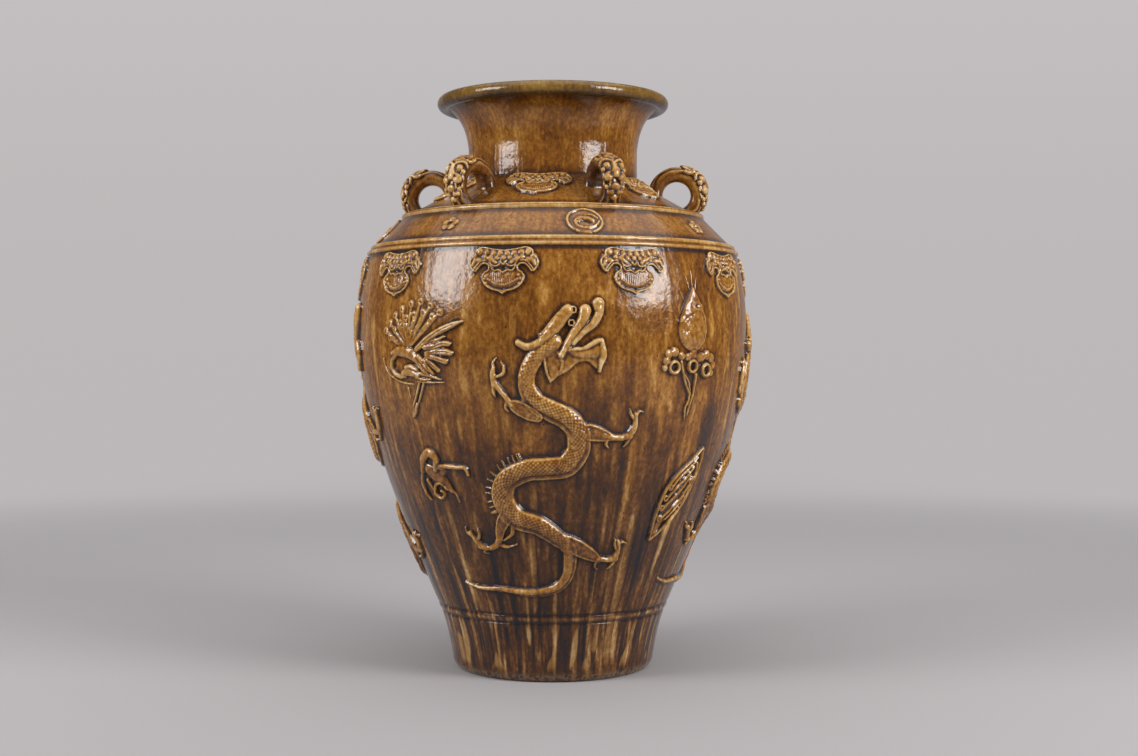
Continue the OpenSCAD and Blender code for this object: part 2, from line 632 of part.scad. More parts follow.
// A slanting drift of cloud: one broad band with curls along both its edges
cloud_strips = [
    [[19, 40, 6], [13, 20, 12], [4, 2, 17], [-4, -14, 14], [-13, -34, 6]],
    [[15, 27, 6], [6, 17, 8], [-3, 7, 6]], [[7, 11, 7], [-4, 3, 8], [-10, -5, 5]],
    [[0, -3, 7], [-9, -10, 8], [-14, -18, 5]],
    [[14, 10, 7], [12, -4, 8], [6, -14, 5]], [[6, -8, 7], [3, -20, 8], [-3, -28, 5]]];
cloud_tufts = [[[19, 38], [24, 52], 6], [[-13, -32], [-18, -44], 6], [[-2, 8], [-9, 4], 5],
    [[-9, -3], [-17, -7], 5], [[-13, -16], [-20, -21], 5], [[7, -12], [3, -21], 5],
    [[-2, -26], [-8, -33], 5], [[15, 24], [21, 12], 6]];

function numbered(name, count) = [for (i = [1:count]) str(name, "_", i)];

base_slab();
lower_wall();
upper_wall();
shoulder();
neck();
rolled_lip();
double_cordon();
shoulder_cordon();
for (i = [1:lug_count]) {
    lug(i - 1);
    lug_mask(i - 1);
    lappet(i - 1);
}
for (i = [1:pendant_count]) pendant(i - 1);
for (i = [1:medal_count]) {
    medallion(i - 1);
    band_flower(i - 1);
}
for (i = [1:dragon_count]) dragon(i - 1);
for (i = [1:figure_count]) {
    figure(i - 1, phoenix_turn, up_the_wall(phoenix_up), phoenix_strips, phoenix_tufts);
    figure(i - 1, pearl_turn, up_the_wall(pearl_up), pearl_strips, pearl_tufts);
    figure(i - 1, duck_turn, up_the_wall(duck_up), duck_strips, duck_tufts);
    figure(i - 1, cloud_turn, up_the_wall(cloud_up), cloud_strips, cloud_tufts);
}
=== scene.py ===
# %% [markdown]
# # A martaban jar, thrown, sprigged and glazed
# A martaban is a tall stoneware jar that carried oil, wine and pickles by ship. The potter throws it in
# sections and lutes them together, presses moulded and hand-rolled clay on the wall, and pours a runny
# brown glaze over everything. The scene follows that order: the thrown wall first, then each kind of
# applied clay, then the glaze, which reads where the clay is high or low.

# %% Frame
import math

import bpy
import numpy as np
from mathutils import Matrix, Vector


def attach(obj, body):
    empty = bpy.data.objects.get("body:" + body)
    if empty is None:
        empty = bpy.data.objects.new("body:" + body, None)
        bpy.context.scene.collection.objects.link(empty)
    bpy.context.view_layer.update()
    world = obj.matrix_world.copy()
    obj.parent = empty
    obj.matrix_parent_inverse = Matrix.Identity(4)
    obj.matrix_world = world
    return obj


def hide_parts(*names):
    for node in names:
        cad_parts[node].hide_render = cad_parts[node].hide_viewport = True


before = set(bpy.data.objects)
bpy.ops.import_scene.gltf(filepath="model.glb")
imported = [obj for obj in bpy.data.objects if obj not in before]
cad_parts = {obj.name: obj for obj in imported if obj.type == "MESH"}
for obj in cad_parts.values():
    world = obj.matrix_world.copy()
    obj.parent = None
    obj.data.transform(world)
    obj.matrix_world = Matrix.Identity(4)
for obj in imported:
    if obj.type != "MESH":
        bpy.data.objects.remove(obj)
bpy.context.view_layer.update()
MM = 0.001


def placed(name, data):
    """A new object that holds this data, put in the scene."""
    thing = bpy.data.objects.new(name, data)
    bpy.context.scene.collection.objects.link(thing)
    return thing


# %% [markdown]
# ## The camera comes first
# The photograph is taken from about 1.75 m away, a little over half way up the jar. Its field of view
# and tilt follow from how round the foot and the rim look, so the camera is set before any shape.

# %% Camera
PHOTO_W, FOCAL_PX = 1138, 1600
DOWN_PX, RIGHT_PX = 21, 16  # how far the camera looks below and to the right of level
camera_data = bpy.data.cameras.new("camera")
camera_data.sensor_width = 36
camera_data.lens = camera_data.sensor_width * FOCAL_PX / PHOTO_W
camera = placed("camera", camera_data)
camera.location = (0, -1.756, 0.337)
camera.rotation_euler = (math.pi / 2 - math.atan(DOWN_PX / FOCAL_PX), 0, -math.atan(RIGHT_PX / FOCAL_PX))
bpy.context.scene.camera = camera
print("lens", round(camera_data.lens, 2), "mm")

# %% [markdown]
# ## One rule for the whole wall
# The outline is five stretches, each a cubic with a radius and a slope at both ends. Everything laid on
# the jar asks this rule where the surface is, so a sprig can't float or sink.

# %% Outline of the wall, in millimetres
WORN, RING_Z, JOINT_Z, BELLY_Z, CORDON_Z, RIDGE_Z, NECK_Z, TOP_Z = 13, 68, 247, 367, 451, 488, 528, 620
REST_R, FOOT_R, RING_R, BELLY_R = 100, 109.5, 124, 210.5
CORDON_R, RIDGE_R, NECK_R, MOUTH_R = 198.5, 162, 92, 126
FOOT_LEAN, RING_LEAN, CORDON_LEAN, RIDGE_LEAN, NECK_LEAN = 11, 23, 19, 64, 57  # degrees from upright
WALL_T, NECK_T, LIP_R, BASE_R, BASE_T = 9.5, 8, 7.7, 92, 14


def lean(degrees):
    """How much a wall widens for each millimetre up."""
    return math.tan(math.radians(degrees))


BAND_SLOPE = (RIDGE_R - CORDON_R) / (RIDGE_Z - CORDON_Z)
STRETCHES = [
    (WORN, FOOT_R, lean(FOOT_LEAN), RING_Z, RING_R, lean(RING_LEAN)),
    (RING_Z, RING_R, lean(RING_LEAN), BELLY_Z, BELLY_R, 0),
    (BELLY_Z, BELLY_R, 0, CORDON_Z, CORDON_R, -lean(CORDON_LEAN)),
    (CORDON_Z, CORDON_R, BAND_SLOPE, RIDGE_Z, RIDGE_R, BAND_SLOPE),
    (RIDGE_Z, RIDGE_R, -lean(RIDGE_LEAN), NECK_Z, NECK_R, -lean(NECK_LEAN)),
]


def wall_radius(z):
    """The outside of the wall at any height."""
    z = np.asarray(z, float)
    radius = np.full(z.shape, float(NECK_R))
    for z0, r0, m0, z1, r1, m1 in reversed(STRETCHES):
        span = z1 - z0
        t = (z - z0) / span
        cubic = (r0 * (2 * t**3 - 3 * t**2 + 1) + span * m0 * (t**3 - 2 * t**2 + t)
                 + r1 * (3 * t**2 - 2 * t**3) + span * m1 * (t**3 - t**2))
        radius = np.where(z <= z1, cubic, radius)
    return radius


def wall_tilt(z):
    """How far the wall leans out at a height, in radians."""
    z = np.clip(np.asarray(z, float), WORN + 0.5, NECK_Z - 0.51)
    return np.arctan(wall_radius(z + 0.5) - wall_radius(z - 0.5))


def on_wall(x, z, out):
    """Metres: x along the wall to the right of the front, z up, out from the surface."""
    tilt, radius = wall_tilt(z), wall_radius(z)
    turn, reach = x / radius, radius + out * np.cos(tilt)
    return np.stack([reach * np.sin(turn), -reach * np.cos(turn), z - out * np.sin(tilt)], -1) * MM


print("belly", float(wall_radius(BELLY_Z)), "mm, slope at the band", round(BAND_SLOPE, 2))

# %% [markdown]
# ## One glaze, thick and thin
# A wood-ash and iron glaze is honey where it is thin, brown where it is thicker and nearly black where it
# pools. So one number, its thickness, drives the colour: it comes from streaks that ran down the wall,
# from cloudy patches, and from the clay itself, which sheds glaze on its crests and gathers it in its
# creases. That last part also paints shade into creases, under the lip and beside the cordons, and paints
# a highlight along crests. A small class lets that sum be written as plain arithmetic.

# %% Arithmetic on sockets
class Wire:
    """A socket in a material. An expression on it adds the Math nodes it needs."""

    def __init__(self, bench, socket):
        self.bench, self.socket = bench, socket

    def combined(self, operation, first, second):
        return self.bench.make("ShaderNodeMath", {"operation": operation}, {0: first, 1: second})

    def __add__(self, other):
        return self.combined("ADD", self, other)

    def __sub__(self, other):
        return self.combined("SUBTRACT", self, other)

    def __rsub__(self, other):
        return self.combined("SUBTRACT", other, self)

    def __mul__(self, other):
        return self.combined("MULTIPLY", self, other)

    __radd__, __rmul__ = __add__, __mul__

    def rising(self, low, high):
        """0 below low, 1 above high, and a soft step between them."""
        return self.bench.make("ShaderNodeMapRange", {"interpolation_type": "SMOOTHSTEP"},
                               {"Value": self, "From Min": low, "From Max": high})


class Bench:
    """Where a material is put together."""

    def __init__(self, name):
        self.material = bpy.data.materials.new(name)
        self.material.use_nodes = True
        self.tree = self.material.node_tree
        self.tree.nodes.clear()

    def make(self, kind, settings=None, sockets=None, out=0):
        """One node: its settings first, then the values or links of its sockets."""
        node = self.tree.nodes.new(kind)
        for name, value in (settings or {}).items():
            if name == "stops":
                stops = node.color_ramp.elements
                while len(stops) < len(value):
                    stops.new(0.5)
                for stop, (place, colour) in zip(stops, value):
                    stop.position, stop.color = place, colour
            else:
                setattr(node, name, value)
        for name, value in (sockets or {}).items():
            if isinstance(value, Wire):
                self.tree.links.new(value.socket, node.inputs[name])
            else:
                node.inputs[name].default_value = value
        return None if out is None else Wire(self, node.outputs[out])

    def position(self):
        return self.make("ShaderNodeTexCoord", out=3)

    def vector(self, operation, first, second=(0, 0, 0)):
        return self.make("ShaderNodeVectorMath", {"operation": operation}, {0: first, 1: second})

    def noise(self, vector, scale, detail=2.0, roughness=0.5, wobble=0.0):
        return self.make("ShaderNodeTexNoise", None, {
            "Vector": vector, "Scale": scale, "Detail": detail, "Roughness": roughness,
            "Distortion": wobble})

    def show(self, surface):
        """The finished surface is what the material puts out."""
        self.make("ShaderNodeOutputMaterial", None, {"Surface": surface}, out=None)

    def mixed(self, share, first, second):
        return self.make("ShaderNodeMix", {"data_type": "RGBA"}, {0: share, 6: first, 7: second}, out=2)


def tone(red, green, blue):
    """A colour written as on a screen, 0 to 255."""
    def linear(value):
        value /= 255
        return value / 12.92 if value < 0.04045 else ((value + 0.055) / 1.055) ** 2.4
    return (linear(red), linear(green), linear(blue), 1)


print("middle grey gives off", round(tone(128, 128, 128)[0], 3), "of the light")

# %% The glaze's colours, from a thin skin to a deep pool
def ramp(*stops):
    """A ramp's stops, each a place and a colour from 0 to 255."""
    return [(place, tone(*colour)) for place, *colour in stops]


AMBER = ramp((0.0, 212, 184, 138), (0.18, 184, 142, 78), (0.34, 154, 105, 42), (0.5, 118, 72, 22),
    (0.66, 84, 48, 17), (0.82, 56, 40, 33), (1.0, 36, 34, 40))
RUNS = ramp((0.0, 188, 156, 112), (0.18, 150, 112, 64), (0.34, 114, 76, 37), (0.5, 84, 50, 23),
    (0.66, 60, 36, 21), (0.82, 42, 30, 30), (1.0, 26, 24, 30))
OLIVE = ramp((0.0, 196, 172, 112), (0.2, 160, 130, 66), (0.4, 126, 95, 40), (0.6, 92, 64, 26),
    (0.8, 60, 43, 24), (1.0, 30, 26, 26))
CLAY_TONE = tone(150, 124, 98)
print("stops:", len(AMBER), len(RUNS), len(OLIVE))


# %% One glaze for every piece, with its own strengths
def glaze(name, colours, thickness, streak, cloud, pool, gloss=0.13, shine=0.42, foot=False):
    """A glazed surface: its streaks, clouds, and pools with painted shade and highlight each have a
    strength.
    """
    bench = Bench(name)
    spot = bench.position()
    z = bench.make("ShaderNodeSeparateXYZ", None, {0: spot}, out=2)
    round_jar = bench.vector("NORMALIZE", bench.vector("MULTIPLY", spot, (1, 1, 0)))

    def runs(across, down, shift, detail=2.0):
        """Streaks that hang down the wall: how many round the jar, and how many up a metre."""
        drop = bench.make("ShaderNodeCombineXYZ", None, {"Z": z * down + shift})
        return bench.noise(
            bench.vector("ADD", bench.vector("MULTIPLY", round_jar, (across, across, 0)), drop),
            1.0, detail, 0.55, 0.2)

    broad, narrow, fine = runs(9, 9, 3.1, 1.0), runs(21, 5, 8.7, 0.3), runs(48, 75, 1.3)
    lengths = runs(15, 17, 20.3, 0.0).rising(0.36, 0.62)
    patches = bench.noise(spot, 22, 3.0, 0.55)
    speckle = bench.noise(bench.vector("MULTIPLY", spot, (1, 1, 0.6)), 300, 3.0, 0.62)
    grain = bench.noise(spot, 900, 2.0, 0.6)
    pits = 1 - bench.make("ShaderNodeTexVoronoi", None, {"Vector": spot, "Scale": 95}).rising(0.05, 0.12)
    pits = pits * bench.noise(spot, 30, 1.0).rising(0.56, 0.62)
    low = 1 - z.rising(0.08, 0.4)
    # what the clay left: glaze pooled in creases and thin on crests, with painted shade in the creases and
    # a painted highlight on the crests
    felt = bench.make("ShaderNodeAttribute", {"attribute_name": "pool"}, out=2)
    hanging = (broad - 0.5) * 0.55 + (narrow - 0.5) * lengths * (0.5 + 1.2 * low) + (fine - 0.5) * 0.5
    depth = (thickness + 0.13 * low + (streak + streak * low) * hanging + cloud * (patches - 0.5)
             + (speckle - 0.5) * 0.56 + (grain - 0.5) * 0.2 + pool * felt + 0.4 * pits)
    if foot:
        drips = (runs(21, 2, 12.4, 0.0).rising(0.55, 0.66) * runs(15, 16, 5.5, 0.0).rising(0.44, 0.54)
                 * z.rising(0.012, 0.03) * (1 - z.rising(0.1, 0.24)))
        tears = runs(27, 26, 33.1, 0.0).rising(0.6, 0.74) * (1 - z.rising(0.42, 0.45))
        crusts = (runs(11, 19, 51.0, 0.0).rising(0.58, 0.64) * z.rising(0.008, 0.018)
                  * (1 - z.rising(0.05, 0.08)))
        depth = (depth * (1 - 0.52 * drips) * (1 - 0.6 * crusts) + 0.2 * drips * (speckle - 0.5)
                 - 0.14 * tears)
    colour = bench.make("ShaderNodeValToRGB", {"stops": colours}, {"Fac": depth})
    if foot:
        runny = bench.make("ShaderNodeValToRGB", {"stops": RUNS}, {"Fac": depth})
        colour = bench.mixed((low + (broad - 0.5) * 1.4 + (patches - 0.5) * 0.8).rising(0.1, 0.85),
                             colour, runny)
        worn = (1 - z.rising(0.003, 0.012)) * speckle.rising(0.42, 0.56)
        bare = bench.mixed(grain, tone(92, 70, 52), CLAY_TONE)
        colour = bench.mixed(worn, colour, bare)
    swell, lumps = bench.noise(spot, 55, 2.0), bench.noise(spot, 170, 3.0, 0.55)
    height = swell * 1.1 + lumps * 0.75 + 0.12 * bench.noise(spot, 700, 2.0) + narrow * 0.5
    skin = bench.make("ShaderNodeBump", None, {"Strength": 0.5, "Distance": 0.0011, "Height": height})
    rough = gloss + (speckle - 0.5) * 0.14 + (patches - 0.5) * 0.12
    surface = bench.make("ShaderNodeBsdfPrincipled", None, {
        "Base Color": colour, "Roughness": rough, "Normal": skin, "Specular IOR Level": shine,
        "Coat Weight": 0.06, "Coat Roughness": 0.06})
    bench.show(surface)
    print(name, len(bench.tree.nodes), "nodes")
    return bench.material


wall_glaze = glaze("amber_glaze", AMBER, 0.47, 0.5, 0.3, 0.6, foot=True)
neck_glaze = glaze("mottled_neck_glaze", AMBER, 0.5, 0.35, 0.7, 0.45)
relief_glaze = glaze("relief_glaze", AMBER, 0.44, 0.2, 0.4, 0.62, gloss=0.12, shine=0.62)
cordon_glaze = glaze("cordon_glaze", AMBER, 0.28, 0.3, 0.5, 0.6, shine=0.6)
lip_glaze = glaze("lip_glaze", OLIVE, 0.56, 0.3, 0.5, 0.5)
lug_glaze = glaze("lug_glaze", AMBER, 0.41, 0.2, 1.0, 0.6, gloss=0.16, shine=0.55)

# %% Bare clay under the foot
bench = Bench("bare_clay")
spot = bench.position()
grit = bench.noise(spot, 900, 3.0, 0.6)
cloudy = bench.noise(spot, 60, 3.0)
earth = bench.mixed(grit * 0.6 + cloudy * 0.4, tone(98, 74, 56), tone(168, 142, 112))
rough_skin = bench.make("ShaderNodeBump", None, {"Strength": 0.6, "Distance": 0.0006, "Height": grit})
fired = bench.make("ShaderNodeBsdfPrincipled", None,
                   {"Base Color": earth, "Roughness": 0.78 + grit * 0.15, "Normal": rough_skin})
bench.show(fired)
bare_clay = bench.material
print("finishes:", [m.name for m in bpy.data.materials])

# %% [markdown]
# ## Throwing the sections
# Each section is a solid of revolution, so its shape follows a rule and Geometry Nodes can throw it: a
# grid is wrapped round the axis, each row taking its radius and height from a profile. The potter's
# fingers leave faint rings, and the whole pot is a little out of true. Both are small moves of the
# surface, square to the axis, with inputs of their own.

# %% A small writer of node trees
class Tree:
    """Adds nodes to a tree: one call per node, settings first, then sockets by name or position."""

    def __init__(self, tree):
        self.tree = tree

    def add(self, kind, settings=None, **sockets):
        node = self.tree.nodes.new(kind)
        for name, value in (settings or {}).items():
            setattr(node, name, value)
        for name, value in sockets.items():
            key = int(name[1:]) if name[0] == "i" and name[1:].isdigit() else name.replace("_", " ")
            self.put(node.inputs[key], value)
        return node

    def put(self, socket, value):
        if isinstance(value, bpy.types.NodeSocket):
            self.tree.links.new(value, socket)
        elif isinstance(value, bpy.types.Node):
            self.tree.links.new(value.outputs[0], socket)
        else:
            socket.default_value = value

    def math(self, operation, a, b=0.0):
        node = self.add("ShaderNodeMath", {"operation": operation})
        self.put(node.inputs[0], a)
        self.put(node.inputs[1], b)
        return node.outputs[0]


def geometry_tree(name, inputs):
    """A new tree with named inputs: returns the tree, its writer and its input node."""
    tree = bpy.data.node_groups.new(name, "GeometryNodeTree")
    for label, kind, default in inputs:
        socket = tree.interface.new_socket(label, in_out="INPUT", socket_type=kind)
        if default is not None:
            socket.default_value = default
    tree.interface.new_socket("Geometry", in_out="OUTPUT", socket_type="NodeSocketGeometry")
    return tree, Tree(tree), tree.nodes.new("NodeGroupInput")


def grow(name, tree, values):
    """Runs a tree with its inputs set by identifier, and returns the result as a plain mesh object."""
    carrier = placed(name + "_carrier", bpy.data.meshes.new(name + "_carrier"))
    modifier = carrier.modifiers.new("shape", "NODES")
    modifier.node_group = tree
    for item in tree.interface.items_tree:
        if item.in_out == "INPUT" and item.name in values:
            modifier[item.identifier] = values[item.name]
    graph = bpy.context.evaluated_depsgraph_get()
    mesh = bpy.data.meshes.new_from_object(carrier.evaluated_get(graph))
    mesh.name = name
    bpy.data.objects.remove(carrier)
    return placed(name, mesh)


print("tree tools:", [name for name in vars(Tree) if name[0] != "_"])

# %% The wheel: a tree that throws one section
wheel, w, given = geometry_tree("wheel", [
    ("Profile", "NodeSocketObject", None), ("Rows", "NodeSocketInt", 100),
    ("Turns", "NodeSocketInt", 480),
    ("Ring depth", "NodeSocketFloat", 0.0002), ("Ring spacing", "NodeSocketFloat", 0.009),
    ("Out of true", "NodeSocketFloat", 0.0006), ("Seed", "NodeSocketFloat", 3.0),
    ("Material", "NodeSocketMaterial", None)])
profile = w.add("GeometryNodeObjectInfo", Object=given.outputs["Profile"])
columns = w.math("ADD", given.outputs["Turns"], 1)
grid = w.add("GeometryNodeMeshGrid", Size_X=1.0, Size_Y=1.0,
             Vertices_X=w.math("ADD", given.outputs["Rows"], 1), Vertices_Y=columns)
index = w.add("GeometryNodeInputIndex")
row = w.math("FLOOR", w.math("DIVIDE", w.math("ADD", index.outputs[0], 0.5), columns))
column = w.math("SUBTRACT", index.outputs[0], w.math("MULTIPLY", row, columns))
picked = w.add("GeometryNodeSampleIndex", {"data_type": "FLOAT_VECTOR"},
               Geometry=profile.outputs["Geometry"],
               Value=w.add("GeometryNodeInputPosition").outputs[0],
               Index=w.math("MODULO", row, given.outputs["Rows"]))
outline = w.add("ShaderNodeSeparateXYZ", Vector=picked.outputs[0])
angle = w.math("MULTIPLY", w.math("DIVIDE", column, given.outputs["Turns"]), 2 * math.pi)
east, south = w.math("SINE", angle), w.math("MULTIPLY", w.math("COSINE", angle), -1.0)
coarse = w.add("ShaderNodeCombineXYZ", X=w.math("MULTIPLY", east, 0.16),
               Y=w.math("MULTIPLY", south, 0.16),
               Z=w.math("DIVIDE", outline.outputs[2], given.outputs["Ring spacing"]))
rings = w.add("ShaderNodeTexNoise", {"noise_dimensions": "4D"}, Vector=coarse, W=given.outputs["Seed"],
              Scale=1.0, Detail=2.0, Roughness=0.45)
broad = w.add("ShaderNodeCombineXYZ", X=east, Y=south, Z=w.math("MULTIPLY", outline.outputs[2], 7.0))
sway = w.add("ShaderNodeTexNoise", {"noise_dimensions": "4D"}, Vector=broad, W=given.outputs["Seed"],
             Scale=0.9, Detail=1.0)
push = w.math("ADD", w.math("MULTIPLY", w.math("SUBTRACT", rings.outputs[0], 0.5),
                            given.outputs["Ring depth"]),
              w.math("MULTIPLY", w.math("SUBTRACT", sway.outputs[0], 0.5), given.outputs["Out of true"]))
reach = w.math("ADD", outline.outputs[0], push)
spot = w.add("ShaderNodeCombineXYZ", X=w.math("MULTIPLY", reach, east),
             Y=w.math("MULTIPLY", reach, south), Z=outline.outputs[2])
moved = w.add("GeometryNodeSetPosition", Geometry=grid.outputs[0], Position=spot)
joined = w.add("GeometryNodeMergeByDistance", Geometry=moved, Distance=0.00002)
real = w.add("GeometryNodeRealizeInstances", Geometry=joined)
skin = w.add("GeometryNodeSetMaterial", Geometry=real, Material=given.outputs["Material"])
w.add("NodeGroupOutput", Geometry=skin)
print("wheel has", len(wheel.nodes), "nodes")

# %% Throw a section
CREASE = math.radians(35)  # edges sharper than this stay sharp


def throw(name, points, turns, ring_depth, material):
    """One section from its closed outline: down the outside, then up the inside."""
    mesh = bpy.data.meshes.new(name + "_outline")
    mesh.from_pydata([(r * MM, 0, z * MM) for r, z in points], [], [])
    shape = placed(name + "_outline", mesh)
    piece = grow(name, wheel, {"Profile": shape, "Rows": len(points), "Turns": turns,
                               "Ring depth": ring_depth * MM, "Material": material})
    bpy.data.objects.remove(shape)
    piece.data.shade_smooth()
    piece.data.set_sharp_from_angle(angle=CREASE)
    print(name, len(piece.data.polygons) * 2, "triangles")
    return piece


def outside(heights):
    """The outline's outer side at these heights."""
    return [(float(r), float(z)) for r, z in zip(wall_radius(heights), heights)]


def inside(heights):
    """The same wall's inner side."""
    tilt = wall_tilt(heights)
    heights = np.asarray(heights, float)
    return [(float(r), float(z)) for r, z in
            zip(wall_radius(heights) - WALL_T * np.cos(tilt), heights + WALL_T * np.sin(tilt))]


print(len(outside(np.linspace(CORDON_Z, JOINT_Z, 108))), "rows on the upper wall")

# %% [markdown]
# ## The wall in five thrown sections
# The lower wall ends in a worn foot edge and carries two tooled grooves, cut with a stick while the jar
# turned. The upper wall is luted on below the belly, the shoulder at the cordons. Each section is a piece
# of its own, and meets the next on the same slanted face as in the CAD, so that none is a painted-on line.

# %% Lower wall, upper wall and shoulder
GROOVE_GAP, GROOVE_W, GROOVE_D, RING_LIFT, SOFT_RING_W = 9, 4.6, 1.2, 0.5, 5
SCARF_LOW, SCARF_HIGH = 262, 469.5  # where the slanted joints come out on the inside
neck_lean = math.radians(NECK_LEAN)
NECK_SEAT = (NECK_R - WALL_T * math.cos(neck_lean), NECK_Z - WALL_T * math.sin(neck_lean))


def tooled(points):
    """The outer outline with its two grooves and the soft ring between them."""
    cut = []
    grooves = [(RING_Z + side * GROOVE_GAP / 2, GROOVE_W, GROOVE_D) for side in (-1, 1)]
    for r, z in points:
        for centre, width, depth in (*grooves, (RING_Z, SOFT_RING_W, -RING_LIFT)):
            near = min(1, abs(z - centre) / (width / 2))
            r -= depth * math.cos(near * math.pi / 2) ** 2
        cut.append((r, z))
    return cut


foot_turns = np.radians(np.linspace(90, 0, 9))[1:]
foot_edge = [(REST_R + (FOOT_R - REST_R) * math.sin(a), WORN * (1 - math.cos(a))) for a in foot_turns]
lower_heights = np.concatenate([np.linspace(JOINT_Z, 84, 76), np.linspace(83.2, 53, 46),
                                np.linspace(51, WORN, 19)])
lower_outline = (tooled(outside(lower_heights)) + foot_edge
                 + [(BASE_R, 0), (BASE_R, BASE_T), (float(wall_radius(BASE_T)) - WALL_T, BASE_T)]
                 + inside(np.linspace(24, SCARF_LOW, 13)))
upper_outline = (outside(np.linspace(CORDON_Z, JOINT_Z, 108))
                 + inside(np.linspace(SCARF_LOW, SCARF_HIGH, 12)))
shoulder_outline = (outside(np.concatenate([np.linspace(NECK_Z, RIDGE_Z, 44)[:-1],
                                            np.linspace(RIDGE_Z, CORDON_Z, 27)]))
                    + inside(np.linspace(SCARF_HIGH, 520, 7)) + [NECK_SEAT])
wall_lower = throw("wall_lower", lower_outline, 460, 0.3, wall_glaze)
wall_upper = throw("wall_upper", upper_outline, 600, 0.3, wall_glaze)
wall_shoulder = throw("wall_shoulder", shoulder_outline, 520, 0.3, wall_glaze)

# %% [markdown]
# ## Neck and lip
# The neck flares like a trumpet, and its edge is rolled over into a thick lip, which stops the rim from
# chipping. On the neck the throwing rings are the deepest, since the hand can't reach in to smooth it.

# %% Neck and lip
FLARE_TURN, FLARE_Z = 82, NECK_Z + 28
LIP_CENTRE = (MOUTH_R - LIP_R, TOP_Z - LIP_R - 0.02)  # a hair low, to stay inside the CAD's box
flare_w = (LIP_CENTRE[0] - NECK_R) / (1 - math.cos(math.radians(FLARE_TURN)))
flare_h = (LIP_CENTRE[1] - NECK_T / 2 - FLARE_Z) / math.sin(math.radians(FLARE_TURN))


def flare(steps, depth):
    """The flare's curve, from the straight neck to the lip, moved in by the neck's thickness."""
    turns = np.radians(np.linspace(0, FLARE_TURN, steps))
    return [(NECK_R + flare_w * (1 - math.cos(a)) - depth * math.cos(a),
             FLARE_Z + flare_h * math.sin(a) + depth * math.sin(a)) for a in turns]


neck_outline = (flare(40, 0)[::-1] + [(NECK_R, z) for z in np.linspace(FLARE_Z, NECK_Z, 22)[1:]]
                + [NECK_SEAT]
                + [(NECK_R - NECK_T, z) for z in np.linspace(NECK_Z + NECK_T / 2, FLARE_Z, 12)[:-1]]
                + flare(30, NECK_T))
lip_outline = [(LIP_CENTRE[0] + LIP_R * math.cos(a), LIP_CENTRE[1] + LIP_R * math.sin(a))
               for a in np.radians(np.arange(90, -270, -9))]
wall_neck = throw("wall_neck", neck_outline, 400, 0.7, neck_glaze)
lip_roll = throw("lip_roll", lip_outline, 480, 0.25, lip_glaze)

# %% [markdown]
# ## Cordons
# Rolls of clay were pressed round the jar to cover the joints: two under the band, and one with a fine
# bead beside it above. Each is thrown by the same tree from a profile that bulges out of the wall.

# %% Cordons
fine_heights = np.linspace(WORN, NECK_Z, 5001)
wall_length = np.concatenate([[0], np.cumsum(np.hypot(np.diff(wall_radius(fine_heights)),
                                                      np.diff(fine_heights)))])


def length_at(z):
    """How far up the wall a height is, measured along it."""
    return np.interp(z, fine_heights, wall_length)


def bead_outline(beads, margin, rows):
    """Beads as (height on the wall, radius): over their tops, down the wall, and back under them."""
    low = length_at(min(z for z, _ in beads)) - margin
    high = length_at(max(z for z, _ in beads)) + margin
    heights = np.interp(np.linspace(high, low, rows), wall_length, fine_heights)
    rise = np.full(rows, -0.6)
    for z, radius in beads:
        away = np.abs(length_at(heights) - length_at(z)) / radius
        rise = np.maximum(rise, radius * np.sqrt(np.clip(1 - away**2, 0, 1)) - 0.6 * (away > 1))
    tilt, radius = wall_tilt(heights), wall_radius(heights)
    over = list(zip(radius + rise * np.cos(tilt), heights - rise * np.sin(tilt)))
    under = list(zip(radius - 1.2 * np.cos(tilt), heights + 1.2 * np.sin(tilt)))[::-1]
    return [(float(r), float(z)) for r, z in over + under[::4] + under[-1:]]


CORDON_GAP, CORDON_BEAD, RIDGE_BEAD, FINE_BEAD = 5.6, 5.2, 5.6, 2.6
FINE_Z = RIDGE_Z + (RIDGE_BEAD + FINE_BEAD) * 0.3
BEAD_MARGIN, BEAD_TURNS, BEAD_RINGS = 4, 540, 0.5
pair = [(CORDON_Z + side * CORDON_GAP / 2, CORDON_BEAD / 2) for side in (-1, 1)]
cordon_double = throw("cordon_double", bead_outline(pair, BEAD_MARGIN, 34), BEAD_TURNS, BEAD_RINGS,
                      cordon_glaze)
main_and_fine = [(RIDGE_Z, RIDGE_BEAD / 2), (FINE_Z, FINE_BEAD / 2)]
cordon_shoulder = throw("cordon_shoulder", bead_outline(main_and_fine, BEAD_MARGIN, 32), BEAD_TURNS,
                        BEAD_RINGS, cordon_glaze)

# %% [markdown]
# ## Clay laid on the wall
# Dragons, masks and clouds are rolls, pads and moulded leaves of clay pressed on the leather-hard wall. A
# patch of a fine grid holds how high the clay stands over the wall, and rolling, padding and scoring each
# change those heights, much as fingers and a pointed stick do. Outside the clay the grid dives under the
# wall, so the outline that shows is a clean curve where the two surfaces cross.

# %% Paths for rolls of clay, and their sections
SKIRT, BED = 1.0, 1.7  # how far the clay's edge and its bed lie under the wall, in millimetres
HAND, HAND_SEED = 0.2, 11  # unevenness the fingers leave, in millimetres
THIN_SHARE = 0.5  # how far a crest pales, thin glaze and painted highlight, against how far a crease darkens, pooled glaze and painted shade


def flow(points, step=0.6):
    """A smooth path through points; whatever follows across and up is carried along."""
    p = np.array(points, float)
    held = np.vstack([p[:1], p, p[-1:]])
    parts = []
    for i in range(len(p) - 1):
        a, b, c, d = held[i:i + 4]
        count = max(2, int(np.hypot(*(c - b)[:2]) / step))
        t = np.linspace(0, 1, count, endpoint=False)[:, None]
        parts.append(0.5 * (2 * b + (c - a) * t + (2 * a - 5 * b + 4 * c - d) * t**2
                            + (3 * b - a - 3 * c + d) * t**3))
    return np.vstack(parts + [p[-1:]])


